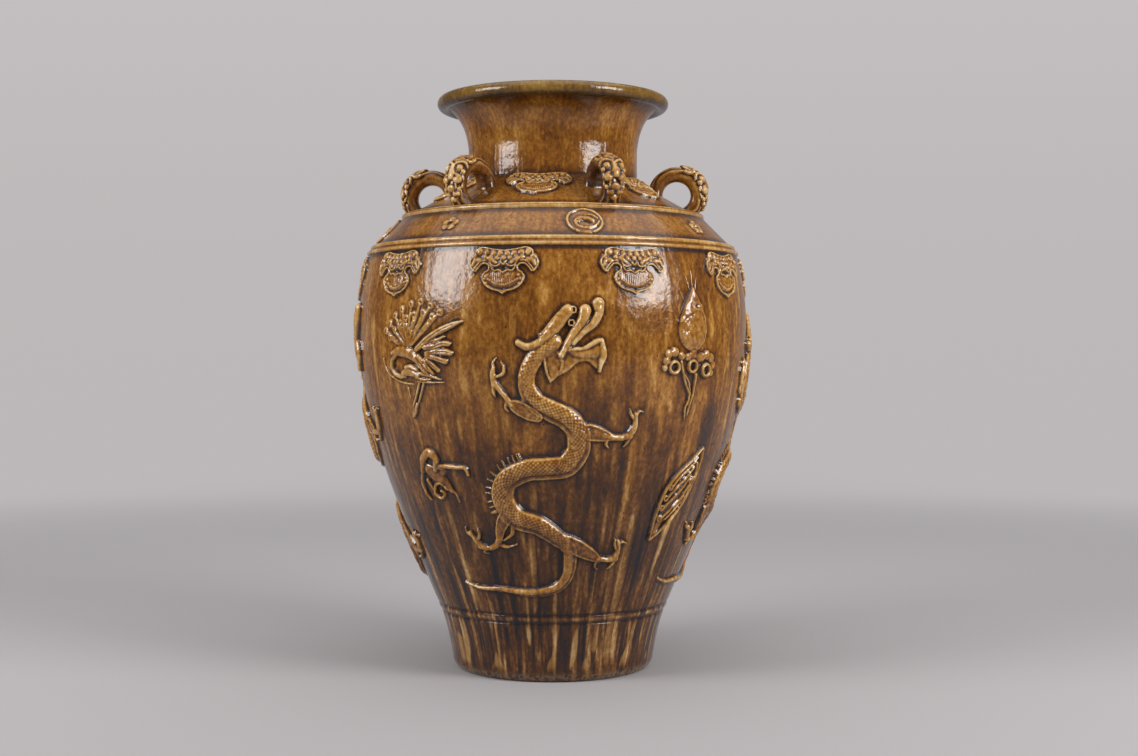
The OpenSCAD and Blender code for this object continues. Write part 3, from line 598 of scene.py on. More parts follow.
def blurred(field, sigma):
    """A Gaussian blur, with sigma in cells."""
    reach = int(3 * sigma) + 1
    weights = np.exp(-0.5 * (np.arange(-reach, reach + 1) / sigma) ** 2)
    weights /= weights.sum()
    for axis in (0, 1):
        padded = np.pad(field, [(reach, reach) if axis == k else (0, 0) for k in (0, 1)], mode="edge")
        field = sum(w * np.take(padded, range(i, i + field.shape[axis]), axis=axis)
                    for i, w in enumerate(weights))
    return field


def domed(a, *_):
    """A roll's section: a is -1 and 1 at its edges."""
    return (1 - a**2) ** 0.56


def rimmed(a, *_):
    """A pad with a raised edge."""
    return 0.72 * domed(a) + 0.3 * np.exp(-((np.abs(a) - 0.8) / 0.13) ** 2)


def veined(a, *_):
    """A feather: a roll with a line scored down its middle."""
    return domed(a) - 0.3 * np.exp(-(a / 0.16) ** 2)


print("near its edge a roll stands", round(domed(0.9), 2), "of its height")


# %% The patch of clay
class Clay:
    """Heights of clay over the wall, in millimetres, on a grid round one place."""

    def __init__(self, low, high, cell):
        self.cell = cell
        self.X, self.Y = np.meshgrid(np.arange(low[0], high[0] + cell, cell),
                                     np.arange(low[1], high[1] + cell, cell))
        self.height = np.full(self.X.shape, -9.0)

    def traced(self, path, margin):
        """For each cell near a path: its distance past the edge, its sample, and which side it is on."""
        gap = np.full(self.X.shape, 99.0)
        sample = np.zeros(self.X.shape, int)
        for k, (x, y, width) in enumerate(path[:, :3]):
            reach = width / 2 + margin
            i0, i1 = np.searchsorted(self.Y[:, 0], [y - reach, y + reach])
            j0, j1 = np.searchsorted(self.X[0], [x - reach, x + reach])
            window = (slice(i0, i1), slice(j0, j1))
            past = np.hypot(self.X[window] - x, self.Y[window] - y) - width / 2
            closer = past < gap[window]
            gap[window][closer] = past[closer]
            sample[window][closer] = k
        heading = np.gradient(path[:, :2], axis=0)
        dx, dy = self.X - path[sample, 0], self.Y - path[sample, 1]
        side = np.where(heading[sample, 1] * dx - heading[sample, 0] * dy >= 0, 1, -1)
        return gap, sample, side

    def press(self, rise, gap, lift, fall=1.3):
        """Adds clay of this rise where gap is negative, standing on a share of what is there."""
        standing = np.maximum(self.height, 0) * lift
        clay = np.where(gap < 0, standing + rise, -gap * fall)
        self.height = np.maximum(self.height, clay)

    def roll(self, points, rise, section=domed, lift=0.0):
        """A roll of clay along points of across, up and width, and a share of the rise if given."""
        path = flow(points)
        gap, sample, side = self.traced(path, 3)
        half = path[sample, 2] / 2
        a = side * np.clip(1 + gap / half, 0, 1)
        along = np.concatenate([[0], np.cumsum(np.hypot(*np.diff(path[:, :2], axis=0).T))])[sample]
        share = path[sample, 3] if path.shape[1] > 3 else 1.0
        self.press(rise * share * section(a, along, half, path[sample]), gap, lift)

    def rolls(self, *rows, section=domed, lift=0.0):
        """Several rolls, each given as its points and its rise."""
        for points, rise in rows:
            self.roll(points, rise, section, lift)

    def score(self, points, depth):
        """A line scored with a pointed stick: across, up and width."""
        path = flow(points)
        gap, sample, _ = self.traced(path, 3)
        width = path[sample, 2]
        self.height -= (depth * np.exp(-(np.maximum(gap + width / 2, 0) / (width / 2)) ** 2)
                        * (self.height > 0))

    def dot(self, x, y, radius, rise, lift=1.0):
        """A round ball of clay, pressed on."""
        away = np.hypot(self.X - x, self.Y - y)
        self.press(rise * np.sqrt(np.clip(1 - (away / radius) ** 2, 0, 1)), away - radius, lift)

    def hole(self, x, y, radius, depth):
        """A hole pushed in with a blunt stick."""
        away = np.hypot(self.X - x, self.Y - y) / radius
        self.height -= depth * np.exp(-away**2) * (self.height > 0)

    def ring(self, x, y, radius, width, rise, start=0, end=360):
        """A roll bent into a ring, or part of one."""
        turns = np.radians(np.linspace(start, end, 25))
        self.roll([(x + radius * math.cos(a), y + radius * math.sin(a), width) for a in turns], rise)

    def pad(self, points, rise, edge, lift=0.0):
        """A flat pad inside a smooth closed outline, rounded over its edge."""
        closed = flow(list(points) + [points[0]], 1.0)[:-1]
        ends = np.roll(closed, -1, axis=0)
        inside_it = np.zeros(self.X.shape, bool)
        away = np.full(self.X.shape, 99.0)
        for (ax, ay), (bx, by) in zip(closed[:, :2], ends[:, :2]):
            run = max((bx - ax) ** 2 + (by - ay) ** 2, 1e-9)
            t = np.clip(((self.X - ax) * (bx - ax) + (self.Y - ay) * (by - ay)) / run, 0, 1)
            away = np.minimum(away, np.hypot(self.X - ax - t * (bx - ax), self.Y - ay - t * (by - ay)))
            if ay != by:
                cross = (ay > self.Y) != (by > self.Y)
                inside_it ^= cross & (self.X < (bx - ax) * (self.Y - ay) / (by - ay) + ax)
        shape = np.sqrt(np.clip(1 - (1 - np.clip(away / edge, 0, 1)) ** 2, 0, 1))
        self.press(rise * shape, np.where(inside_it, -away - 1e-6, away), lift)

    def settle(self, softness):
        """The glaze rounds every crease a little; what it leaves thin or fills is the pool field, which
        also paints shade into creases and a highlight on crests.
        """
        pressed = blurred(np.random.default_rng(HAND_SEED).standard_normal(self.X.shape), 1.5 / self.cell)
        self.height += HAND * pressed / pressed.std() * np.clip(self.height / 2, 0, 1)
        self.height = blurred(np.maximum(self.height, -SKIRT - 0.8), softness / self.cell)
        over = np.maximum(self.height, 0)
        close, wide = blurred(over, 1.1 / self.cell), blurred(over, 2.6 / self.cell)
        # paler on crests and over high clay, darker in creases and beside the clay: thin or pooled glaze,
        # and also painted highlight and painted shade
        felt = (close - over) * 1.3 + (wide - over) * 0.28 - 0.03 * over
        self.pool = np.clip(np.where(felt < 0, THIN_SHARE * felt, felt), -THIN_SHARE, 1)

    def pool_at(self, x, y):
        """The pool field, with its painted shade and highlight, at any place, by straight lines between the
        grid's points.
        """
        u = np.clip((x - self.X[0, 0]) / self.cell, 0, self.X.shape[1] - 1.001)
        v = np.clip((y - self.Y[0, 0]) / self.cell, 0, self.X.shape[0] - 1.001)
        j, i = u.astype(int), v.astype(int)
        s, t = u - j, v - i
        f = self.pool
        return ((f[i, j] * (1 - s) + f[i, j + 1] * s) * (1 - t)
                + (f[i + 1, j] * (1 - s) + f[i + 1, j + 1] * s) * t)


print("patch tools:", [name for name in vars(Clay) if name[0] != "_"])

# %% [markdown]
# A settled patch becomes a closed mesh: its top, a bed pressed into the wall, and a short side between
# them. The place function puts the grid on what carries it, the wall or the back of a lug.

# %% From patch to mesh
def write_pool(mesh, values):
    """The glaze reads how deep it lies, and the painted shade and highlight, from this attribute."""
    mesh.attributes.new("pool", "FLOAT", "POINT").data.foreach_set("value", values.astype(np.float32))


def moulded(name, clay, place):
    """The closed mesh of a settled patch."""
    keep = clay.height > -SKIRT
    cells = keep[:-1, :-1] | keep[1:, :-1] | keep[:-1, 1:] | keep[1:, 1:]
    while True:
        a, b, c, d = cells[:-1, :-1], cells[:-1, 1:], cells[1:, :-1], cells[1:, 1:]
        corner = (a & d & ~b & ~c) | (b & c & ~a & ~d)
        if not corner.any():
            break
        for quarter in (cells[:-1, :-1], cells[1:, 1:], cells[:-1, 1:], cells[1:, :-1]):
            quarter |= corner
    rows, columns = clay.X.shape
    index = np.arange(rows * columns).reshape(rows, columns)
    i, j = np.nonzero(cells)
    v00, v01, v11, v10 = index[i, j], index[i, j + 1], index[i + 1, j + 1], index[i + 1, j]
    top = np.stack([v00, v01, v11, v10], 1)
    below = rows * columns
    faces = [top, top[:, ::-1] + below]
    edged = np.pad(cells, 1)
    for up, across, a, b in ((0, -1, v00, v10), (0, 1, v11, v01), (-1, 0, v01, v00), (1, 0, v10, v11)):
        open_side = ~edged[i + 1 + up, j + 1 + across]
        a, b = a[open_side], b[open_side]
        faces.append(np.stack([a, b, b + below, a + below], 1))
    faces = np.concatenate(faces)
    used, numbered = np.unique(faces, return_inverse=True)
    height = np.maximum(clay.height, -SKIRT).ravel()
    bottom = used >= below
    at = used % below
    out = np.where(bottom, -BED, height[at])
    points = place(clay.X.ravel()[at], clay.Y.ravel()[at], out)
    mesh = bpy.data.meshes.new(name)
    mesh.from_pydata(points.tolist(), [], numbered.reshape(faces.shape).tolist())
    mesh.shade_smooth()
    write_pool(mesh, np.where(bottom, 0, clay.pool.ravel()[at]))
    print(name, len(mesh.polygons) * 2, "triangles")
    return mesh


def on_jar(height, squash):
    """Places a patch on the wall at a height, with its ups shortened where the wall lies back."""
    def place(x, y, out):
        return on_wall(x, height + y * squash, out)
    return place


print("a patch's bed lies", BED, "mm and its edge", SKIRT, "mm under the wall")

# %% A tree that repeats a moulded piece round the jar
ring, w, given = geometry_tree("ring round the jar", [
    ("Piece", "NodeSocketObject", None), ("Count", "NodeSocketInt", 6),
    ("First bearing", "NodeSocketFloat", 0.0), ("Pitch", "NodeSocketFloat", 60.0),
    ("Material", "NodeSocketMaterial", None)])
model = w.add("GeometryNodeObjectInfo", Object=given.outputs["Piece"])
spots = w.add("GeometryNodePoints", Count=given.outputs["Count"])
bearing = w.math("ADD", given.outputs["First bearing"],
                 w.math("MULTIPLY", w.add("GeometryNodeInputIndex").outputs[0], given.outputs["Pitch"]))
turned = w.add("ShaderNodeCombineXYZ", Z=w.math("RADIANS", bearing))
copies = w.add("GeometryNodeInstanceOnPoints", Points=spots, Instance=model.outputs["Geometry"],
               Rotation=turned)
whole = w.add("GeometryNodeRealizeInstances", Geometry=copies)
w.add("NodeGroupOutput", Geometry=w.add("GeometryNodeSetMaterial", Geometry=whole,
                                        Material=given.outputs["Material"]))


def ringed(name, mesh, count, first, pitch, material):
    """Copies of one mesh at even bearings round the jar, as one piece."""
    shape = placed(name + "_model", mesh)
    piece = grow(name, ring, {"Piece": shape, "Count": count, "First bearing": float(first),
                              "Pitch": float(pitch), "Material": material})
    bpy.data.objects.remove(shape)
    print(name, count, "copies,", len(piece.data.polygons) * 2, "triangles")
    return piece


print("ring has", len(ring.nodes), "nodes")


# %% [markdown]
# ## The dragons
# Each dragon is one long roll that swings up the wall from tail to neck, with a scaled back, a smooth belly
# band that always lies underneath, and pads for the thighs. Four were laid at even bearings from the same
# pattern. The scales were pressed with a stamp, so they follow the roll, and a comb of spines stands
# outside the great bend.

# %% A dragon's back, from its tail
DRAGON_Z, DRAGON_RISE = 240, 7.6
dragon_clay = Clay((-104, -151), (98, 162), 0.83)
# Across, up, width, share of the rise, and which side its belly is on
dragon_back = [(-96, -134, 3, 0.4, 1), (-77, -139, 5, 0.48, 1), (-52, -139, 7, 0.53, 1),
    (-23, -142, 9, 0.58, 1), (2, -137, 11, 0.64, 1), (14, -124, 12, 0.68, 1), (17, -106, 14, 0.73, 1),
    (15, -93, 15, 0.77, 0.9), (4, -83, 18, 0.84, -0.8), (-15, -70, 21, 0.93, -1),
    (-34, -64, 22.5, 0.96, -1), (-45, -53, 23, 0.97, -0.4), (-50, -38, 24, 1, 0.3), (-45, -24, 24, 1, 0.8),
    (-26, -14, 23.5, 1, 1), (-6, -12, 23.5, 1, 1), (13, -9, 24, 1, 1), (24, 5, 24, 1, 1),
    (25, 17, 24, 1, 0.3), (22, 28, 23.5, 1, -0.6), (12, 38, 23, 0.97, -1), (-2, 45, 22, 0.95, -1),
    (-17, 54, 20, 0.9, -0.8), (-25, 68, 18, 0.85, -0.3), (-24, 84, 17.5, 0.83, 0.2),
    (-14, 100, 18, 0.87, 0.3), (0, 111, 18, 0.9, 0.3)]
SCALE_STEP, SCALE_DEPTH = 4.4, 0.15


def scaled_back(a, along, half, sample):
    belly = sample[..., 4]
    t, share = a * np.sign(belly), np.clip(np.abs(belly), 0, 1)
    whole_back = domed(a)
    back = np.sqrt(np.clip(1 - ((t + 0.2) / 0.8) ** 2, 0, 1))
    band = (np.where(t > 0.4, 0.4 + 0.16 * np.exp(-((t - 0.9) / 0.07) ** 2), 0)
            * (1 - np.clip(t, 0, 1) ** 12))
    rise = (1 - share) * whole_back + share * np.maximum(back, band)
    rise += 0.1 * np.exp(-((t + 0.86) / 0.08) ** 2)
    u, v = along / SCALE_STEP, a * half / SCALE_STEP * 1.15
    scales = np.abs(np.sin(np.pi * (u + v))) * np.abs(np.sin(np.pi * (u - v)))
    covered = np.clip((half - 5) / 5, 0, 1) * np.clip(1 - (np.abs(t + 0.2) / 0.72) ** 6, 0, 1)
    return rise + SCALE_DEPTH * (scales - 0.45) * covered


dragon_clay.roll(dragon_back, DRAGON_RISE, scaled_back)
print("back through", len(dragon_back), "points, on a grid of", dragon_clay.X.shape)

# %% Its legs, claws and spines
def dotted_thigh(a, along, half, sample):
    dots = np.sin(2 * np.pi * along / 3.1) * np.sin(2 * np.pi * a * half / 3.1)
    return rimmed(a) + 0.05 * dots * (np.abs(a) < 0.7)


thighs = [[(-15, 39, 11), (-23, 43, 16), (-33, 48, 15), (-41, 52, 8)], [(24, 27, 13), (36, 24, 18),
    (48, 21, 14), (57, 19, 8)], [(-42, -55, 17), (-49, -65, 16), (-53, -76, 11), (-54, -86, 7)],
    [(12, -85, 13), (24, -93, 18), (36, -100, 15), (46, -106, 7)]]
shins = [[(-40, 51, 7), (-50, 63, 6), (-57, 71, 8)], [(55, 19, 8), (67, 18, 7), (77, 20, 8)],
    [(-54, -84, 8), (-57, -91, 8), (-66, -95, 6.5), (-76, -93, 7)], [(44, -105, 7), (55, -107, 6.5),
    (64, -106, 8)]]
feet = [[(-57, 70, 8), (-59, 80, 7), (-58, 88, 3)], [(76, 19, 8), (82, 29, 7), (83, 41, 5)], [(-75, -93, 7),
    (-81, -86, 6), (-87, -79, 3.5)], [(63, -106, 8), (67, -97, 6), (67, -88, 4.5)]]
claws = [[(-58, 85, 4), (-59, 91, 3), (-56, 96, 1.4)], [(-55, 78, 4), (-49, 81, 4), (-48, 87, 3),
    (-51, 93, 1.4)], [(-57, 71, 6), (-58, 63, 5), (-56, 58, 1.5)], [(-44, 55, 5), (-46, 48, 4.5),
    (-43, 44, 2)], [(83, 38, 4), (87, 44, 3), (92, 43, 1.3)], [(82, 36, 5), (78, 41, 4), (77, 46, 1.5)],
    [(77, 20, 6), (74, 13, 4), (70, 9, 1.5)], [(54, 18, 5), (52, 12, 4), (55, 8, 1.5)], [(-84, -83, 4),
    (-90, -80, 3), (-93, -75, 1.4)], [(-79, -90, 5), (-76, -82, 4), (-78, -76, 1.5)], [(-55, -90, 6),
    (-46, -93, 4), (-36, -90, 1.6)], [(-40, -68, 7), (-41, -79, 5), (-49, -86, 3)], [(-66, -95, 5),
    (-71, -99, 3), (-66, -101, 1.4)], [(66, -91, 4), (72, -89, 3), (77, -91, 1.3)], [(66, -98, 5),
    (63, -91, 3.5), (64, -86, 1.5)], [(64, -107, 6), (59, -114, 3), (55, -117, 1.4)], [(44, -107, 5),
    (42, -114, 3), (45, -117, 1.4)]]
for thigh in thighs:
    dragon_clay.roll(thigh, 5.2, dotted_thigh, lift=0.35)
for shin in shins + feet:
    dragon_clay.roll(shin, 4.4)
for claw in claws:
    dragon_clay.roll(claw, 3.4)
comb = flow([row[:3] for row in dragon_back[11:15]], 0.6)
heading = np.gradient(comb[:, :2], axis=0)
heading /= np.hypot(*heading.T)[:, None]
SPINES, SPINE_H = 14, 7
for k in np.linspace(0, len(comb) - 1, SPINES).astype(int):
    out_of_bend = np.array([-heading[k, 1], heading[k, 0]])
    foot, tip = (comb[k, :2] + out_of_bend * (comb[k, 2] / 2 + s) for s in (-1.5, SPINE_H))
    dragon_clay.roll([(*foot, 2.6), (*((foot + tip) / 2), 2), (*tip, 0.9)], 2.3)
print(len(thighs), "legs,", len(claws), "claws,", SPINES, "spines")

# %% Its head
dragon_clay.pad([(14, 106), (22, 104), (31, 106), (44, 112), (49, 99), (45, 84), (34, 92), (24, 91),
    (14, 83), (5, 78), (-2, 73), (-6, 84), (-8, 96), (0, 105)], 2.6, 3, 0.2)
dragon_clay.rolls(([(-5, 108, 3.4), (-8, 96, 3.4), (-6, 83, 3), (-2.5, 73, 2)], 4.2), ([(5, 101, 6),
    (9, 92, 5), (7, 84, 3)], 3.6), ([(14, 106, 9), (22, 101, 10), (32, 101, 13), (43, 103, 18)], 4.6),
    ([(15, 104, 6), (31, 106, 6), (42, 112, 7), (47, 113, 5)], 5.4), ([(47, 113, 6), (48, 100, 10),
    (46, 90, 6), (45, 83, 3)], 5.6), ([(8, 99, 8), (14, 110, 9), (21, 121, 10.5), (28, 132, 12),
    (31, 142, 13)], 6.4), ([(19, 111, 8), (28, 121, 9), (38, 129, 9.5), (44, 139, 10), (44, 149, 12.5)],
    6.2))
dragon_clay.roll([(14, 142, 13), (5, 131, 14.5), (-5, 119, 13.5), (-15, 110, 12), (-25, 107.5, 10),
    (-33, 111, 8)], 6.8, lift=0.1)
dragon_clay.score([(-31, 115, 4), (-24, 113, 5), (-16, 116, 4.5), (-11, 119, 2.5)], 4.2)
dragon_clay.ring(19, 142.5, 3, 2, 5.5)
dragon_clay.ring(17.5, 130, 2.8, 2, 5.2)
dragon_clay.dot(-12, 118, 2.6, 2.2)
dragon_clay.hole(27, 109, 3.2, 3)
dragon_clay.settle(0.42)
print("dragon stands", round(float(dragon_clay.height.max()), 1), "mm over the wall")

# %% [markdown]
# ## Phoenix, flaming pearl, duck and cloud
# The smaller figures fill the wall between the dragons, each pair on opposite sides. They are thinner
# than a dragon and mostly drawn with feather rolls, a hood of flame, and scrolls with a hole pushed in.

# %% Phoenix
PHOENIX_Z = 344
phoenix_clay = Clay((-56, -74), (76, 60), 0.76)
phoenix_clay.rolls(([(-26, -3, 6), (-14, -1, 12), (0, -3, 13), (10, -8, 13), (19, -16, 10), (25, -24, 5)],
    4), ([(-20, -4, 6), (-28, -11, 6), (-27, -20, 5.5), (-18, -26, 6), (-9, -25, 7)], 3.8), ([(-10, -23, 7),
    (-2, -21, 11), (6, -23, 9), (12, -26, 6)], 4.6), ([(-5, -17, 5), (3, -17, 6.5), (11, -20, 4)], 4.6))
phoenix_clay.rolls(([(12, 1, 7), (25, 10, 8), (40, 18, 8), (55, 24, 6.5), (67, 28, 2)], 4.4), ([(16, 3, 5),
    (33, 8, 5.5), (46, 13, 3)], 3.2), ([(22, 2, 5), (34, 3, 7), (44, 6, 7.5), (51, 6, 6)], 3.8),
    ([(24, -3, 5), (37, -2, 6.5), (47, -2, 8.5), (53, -3, 6)], 4), ([(24, -6, 5), (35, -8, 6.5),
    (46, -11, 7)], 3.8), ([(22, -9, 5), (30, -14, 6.5), (37, -20, 5.5)], 3.8), ([(14, -6, 5), (22, -14, 7),
    (31, -23, 4.5)], 4.4), ([(9, -8, 5), (15, -15, 5.5), (21, -22, 3.5)], 4), section=veined, lift=0.25)
feather_tips = [(-38, 20), (-31, 13), (-30, 27), (-22, 20), (-21, 35), (-13, 27), (-10, 41), (-4, 32),
    (3, 46), (8, 35), (16, 48), (20, 37), (29, 44), (32, 33), (41, 37)]
for x, y in feather_tips:
    quill = [(0.1 * x, 2 + 0.08 * y, 3), (0.5 * x - 0.03 * y, 0.48 * y, 4.6), (0.93 * x, 0.93 * y, 4)]
    phoenix_clay.roll(quill, 2, veined, lift=0.2)
    phoenix_clay.dot(x, y, 4.6, 2.2, 0.4)
    phoenix_clay.hole(x - 0.6, y - 0.6, 1.7, 1.4)
phoenix_clay.rolls(([(8, -27, 5), (18, -29, 4), (27, -29, 2)], 3.6), ([(9, -31, 3), (24, -32, 2.6),
    (42, -32, 1.2)], 2.6), ([(12, -23, 5), (25, -25, 5.5), (39, -29, 2)], 3.4), ([(-46, -8, 1.6),
    (-42, -19, 1.9), (-33, -26, 2.2), (-17, -32, 2.4), (2, -34, 2.2)], 1.8), ([(11, -33, 3.4),
    (7, -41, 3.2), (3, -49, 3), (-1, -55, 3.4), (-4, -67, 2.6)], 2.8), ([(17, -33, 3.2), (12, -43, 3),
    (7, -52, 2.4)], 2.6), ([(-6, -38, 2.6), (-5, -48, 1.8)], 2), ([(4, -54, 4), (1, -60, 5.5),
    (-2, -66, 3)], 2.8))
phoenix_clay.dot(1.5, -25.5, 1.7, 1.2)
phoenix_clay.settle(0.4)
print("phoenix with", len(feather_tips), "tail feathers")

# %% Flaming pearl over its clouds
PEARL_Z = 346
pearl_clay = Clay((-46, -78), (46, 84), 0.78)
drop = [(1, 62), (-6, 52), (-13, 41), (-18, 29), (-20, 18), (-17, 7), (-9, -1), (1, -4), (11, -1), (17, 8),
    (20, 20), (18, 32), (13, 43), (6, 55)]
pearl_clay.pad(drop, 4.4, 16)
pearl_clay.pad([(1, 62), (-6, 52), (-13, 41), (-18.5, 29), (-18, 25), (-7, 33), (2, 37.5), (11, 35),
    (16, 29), (18.5, 22), (18, 32), (13, 43), (6, 55)], 0.9, 1.5, 1)
pearl_clay.roll([(18, 27, 2), (18.6, 18, 2.2), (15, 6, 2.2), (8, 0, 2.2), (0, -2.5, 2)], 2.6)
pearl_clay.hole(4, 42, 3, 2)
for x, y, radius in ((-33, -13, 5), (-31, -6, 5), (-24, -4, 5.5), (-15, -8, 4.6), (-35, -20, 3.6),
    (-6, -9, 4.5), (1, -6, 6), (9, -10, 5), (15, -9, 5), (22, -7, 5.5), (29, -10, 5.5), (33, -17, 5),
    (31, -25, 4)):
    pearl_clay.dot(x, y, radius, 3, 0.25)
for x, y, radius in ((-24, -19, 5.6), (0, -18, 5.6), (21, -22, 5.8)):
    pearl_clay.ring(x, y, radius, 4.4, 4.4)
    pearl_clay.hole(x, y, 3, 2.2)
for row in ([(-15, -14, 4), (-11, -26, 3.4), (-6, -37, 3.4), (0, -47, 3), (-1, -56, 2.2)], [(-9, -27, 3),
    (-3, -34, 3.4), (0, -43, 3), (0, -51, 3), (-3, -60, 2.6), (-2, -71, 1.6)], [(7, -27, 5.5),
    (6, -37, 3.4), (5, -48, 3), (2, -59, 2.6), (1, -68, 1.6)]):
    pearl_clay.roll(row, 3)
for row in ([(1, 60, 1.6), (2, 78, 0.9)], [(-3, 58, 1.4), (-6, 71, 0.8)], [(5, 58, 1.4), (9, 71, 0.8)],
    [(-11, 47, 1.3), (-17, 60, 0.8)], [(-17, 36, 1.3), (-24, 48, 0.8)], [(-20, 26, 1.3), (-27, 37, 0.8)]):
    pearl_clay.roll(row, 1.1)
pearl_clay.settle(0.4)
print("pearl stands", round(float(pearl_clay.height.max()), 1), "mm over the wall")

# %% Crouching duck, and a slanting cloud
DUCK_Z, CLOUD_Z = 220, 199
duck_clay = Clay((-42, -38), (44, 34), 0.7)
duck_clay.rolls(([(-15, 4, 12), (-6, -2, 15), (4, -8, 12), (11, -17, 6)], 3), ([(-22, 2, 6), (-19, 14, 9),
    (-9, 21, 10.5), (-1, 15, 9), (-4, 4, 7)], 4.6), ([(-4, 6, 6), (10, 8, 6.5), (24, 7.5, 5.5), (33, 7, 5),
    (35, 0, 3.4)], 3.8), ([(-22, 4, 5), (-28, -9, 5), (-26, -20, 4.5), (-20, -28, 2.4)], 3), ([(-19, -7, 4),
    (-13, -18, 3.6), (-8, -25, 1.8)], 2.6), ([(8, -14, 4), (15, -20, 3), (17, -29, 1.5)], 2.4))
duck_clay.dot(5, 3, 5, 3, 0.4)
duck_clay.roll([(7, -15, 4.4), (0, -9.5, 4.6), (-8, -12, 4.6), (-11, -20, 4.2), (-4, -25, 4), (2, -20, 3.4),
    (-2, -17, 3)], 4.2)
duck_clay.hole(-10, 12, 2.6, 1.5)
duck_clay.settle(0.4)
cloud_clay = Clay((-30, -52), (36, 54), 0.7)
cloud_clay.roll([(24, 42, 4), (16, 27, 12), (7, 8, 18), (-4, -12, 16), (-11, -28, 10), (-17, -44, 3)], 2)
for row in ([(21, 36, 3), (10, 25, 4.4), (-1, 16, 4.4), (-10, 5, 3.6)], [(18, 27, 3), (8, 15, 4.4),
    (-4, 4, 4.4), (-12, -6, 3.4)], [(15, 17, 3), (6, 5, 4.2), (-5, -6, 4.4), (-15, -16, 3.4)], [(17, 8, 3),
    (9, -5, 4.2), (-2, -15, 4.2), (-14, -26, 3)], [(12, -4, 3), (4, -16, 4), (-7, -27, 2.6)], [(20, 15, 4),
    (17, 0, 4), (10, -12, 2.6)], [(22, 30, 4), (24, 20, 3.4), (20, 12, 2)]):
    cloud_clay.roll(row, 3.8, lift=0.15)
for x, y in ((-10, 6), (-13, -5), (-15, -15), (-14, -26), (19, 11), (10, -13)):
    cloud_clay.ring(x, y, 2.6, 2.2, 3.4)
rim = [(27, 46, 2), (28, 34, 3.4), (25, 18, 3.8), (19, 0, 3.8), (9, -18, 3.8), (-3, -33, 3.6),
    (-20, -48, 2)]
cloud_clay.roll(rim, 4.2)
cloud_clay.roll([rim[0], (12, 33, 3.4), (-4, 20, 3.6), (-15, 7, 3.8), (-20, -9, 3.8), (-21, -28, 3.4),
    rim[-1]], 4.2)
cloud_clay.settle(0.4)
print("figures ready:", phoenix_clay.X.shape, pearl_clay.X.shape, duck_clay.X.shape, cloud_clay.X.shape)

# %% [markdown]
# ## Ruyi masks
# Ten cloud-collar masks hang below the double cordon, and six lie on the slope between the lugs.
# They came out of one mould: ears that hook down, a row of scallops, a nose and moustache, and a lower
# bowl of fine ribs with a beaded edge. The mould is drawn once, its right half mirrored.

# %% The mould
MASK_RISE = 3.6
ruyi_clay = Clay((-38, -28), (38, 26), 0.61)
half_outline = [(0, 19.5), (12, 20.8), (22, 22.6), (28.5, 20), (30, 15), (34, 11.5), (35, 7), (33, 2),
    (29.6, -1.5), (26.5, 3), (22.5, 6.6), (18, 7), (14.8, 4.5), (15.4, 0.6), (19.4, -3), (21.5, -7.5),
    (20, -12), (16.5, -16), (11, -19), (4.5, -20.6), (0, -23.2)]
mirrored = half_outline + [(-x, y) for x, y in half_outline[-2:0:-1]]
ruyi_clay.pad(mirrored, 2.0, 1.2)


def both(draw, points, *rest, **named):
    """The same move on the right and mirrored on the left."""
    draw(points, *rest, **named)
    draw([(-x, *others) for x, *others in points], *rest, **named)


both(ruyi_clay.roll, [(x * 0.965, y - 0.4 if y > 0 else y + 0.7, 1.9) for x, y in half_outline],
     MASK_RISE)


def lobes(clay, places, rise, lift=0.6):
    """Rounded lobes of clay on both sides: across, up and radius."""
    for x, y, radius in places:
        for side in ((-1, 1) if x else (1,)):
            clay.dot(side * x, y, radius, rise, lift)


lobes(ruyi_clay, [(3.6, 15.8, 3.5), (10.4, 16.3, 3.6), (17.2, 17.2, 3.6), (24, 17.8, 3.8),
    (29.6, 13.4, 3.6)], 2.6)
lobes(ruyi_clay, [(0, 12, 3), (6.6, 11.6, 3), (12.8, 12.4, 3), (18.4, 12.6, 2.8)], 2.8)
both(ruyi_clay.roll, [(8, 7.4, 5), (11.6, 10, 6.4), (15.4, 11.6, 5)], 4.4)
both(ruyi_clay.roll, [(3.4, 6, 1.8), (7, 3.8, 2.2), (11.4, 5, 2.4), (13.4, 8.6, 2)], 3.9)
both(ruyi_clay.roll, [(24, 9.8, 7), (28.6, 9.6, 7), (31.2, 5, 4)], 3.8)
both(ruyi_clay.roll, [(17, 9.4, 2), (22, 9, 2), (26, 5.4, 2), (29.4, 1.2, 1.8)], 3.6)
ruyi_clay.roll([(-3, 8.6, 2.4), (0, 5.6, 2.6), (3, 8.6, 2.4)], 4)
moustache = [(0, -2.6, 1.9), (2.6, -0.8, 1.9), (5, 0.2, 1.9), (8, -0.6, 1.9), (10.6, 1, 1.9),
    (12.2, 4, 1.9)]
both(ruyi_clay.roll, moustache, 4)
both(ruyi_clay.score, [(0, 2.4, 4), (5, 2.8, 3), (9, 2, 2)], 1.3)
ribs = np.cos(2 * np.pi * ruyi_clay.X / 1.9) * np.exp(-(ruyi_clay.X / 13) ** 6)
bowl = np.exp(-((ruyi_clay.Y + 8) / 6) ** 6) * (ruyi_clay.height > 1.4)
ruyi_clay.height += (0.35 * ribs + 0.7 * (1 - (ruyi_clay.X / 15) ** 2).clip(0, 1)) * bowl
bead_places = [2.1 * k for k in range(7)]
lobes(ruyi_clay, [(x, -14.6 + 0.03 * x**2, 1.25) for x in bead_places], 1.5, 0.8)
both(ruyi_clay.score, [(0, -18, 2), (8, -16.6, 2), (14, -13.4, 1.6)], 1.1)
lobes(ruyi_clay, [(15.8, -5, 1.9), (18, -8.4, 1.9), (14.6, -9, 1.7), (16.8, -12.4, 1.7)], 1.7)
ruyi_clay.settle(0.32)
print("mask grid", ruyi_clay.X.shape)

# %% [markdown]
# ## Band ornament
# A round medallion with a swirl inside its open ring, and a five-lobed flower, stand in the band between
# the cordons.

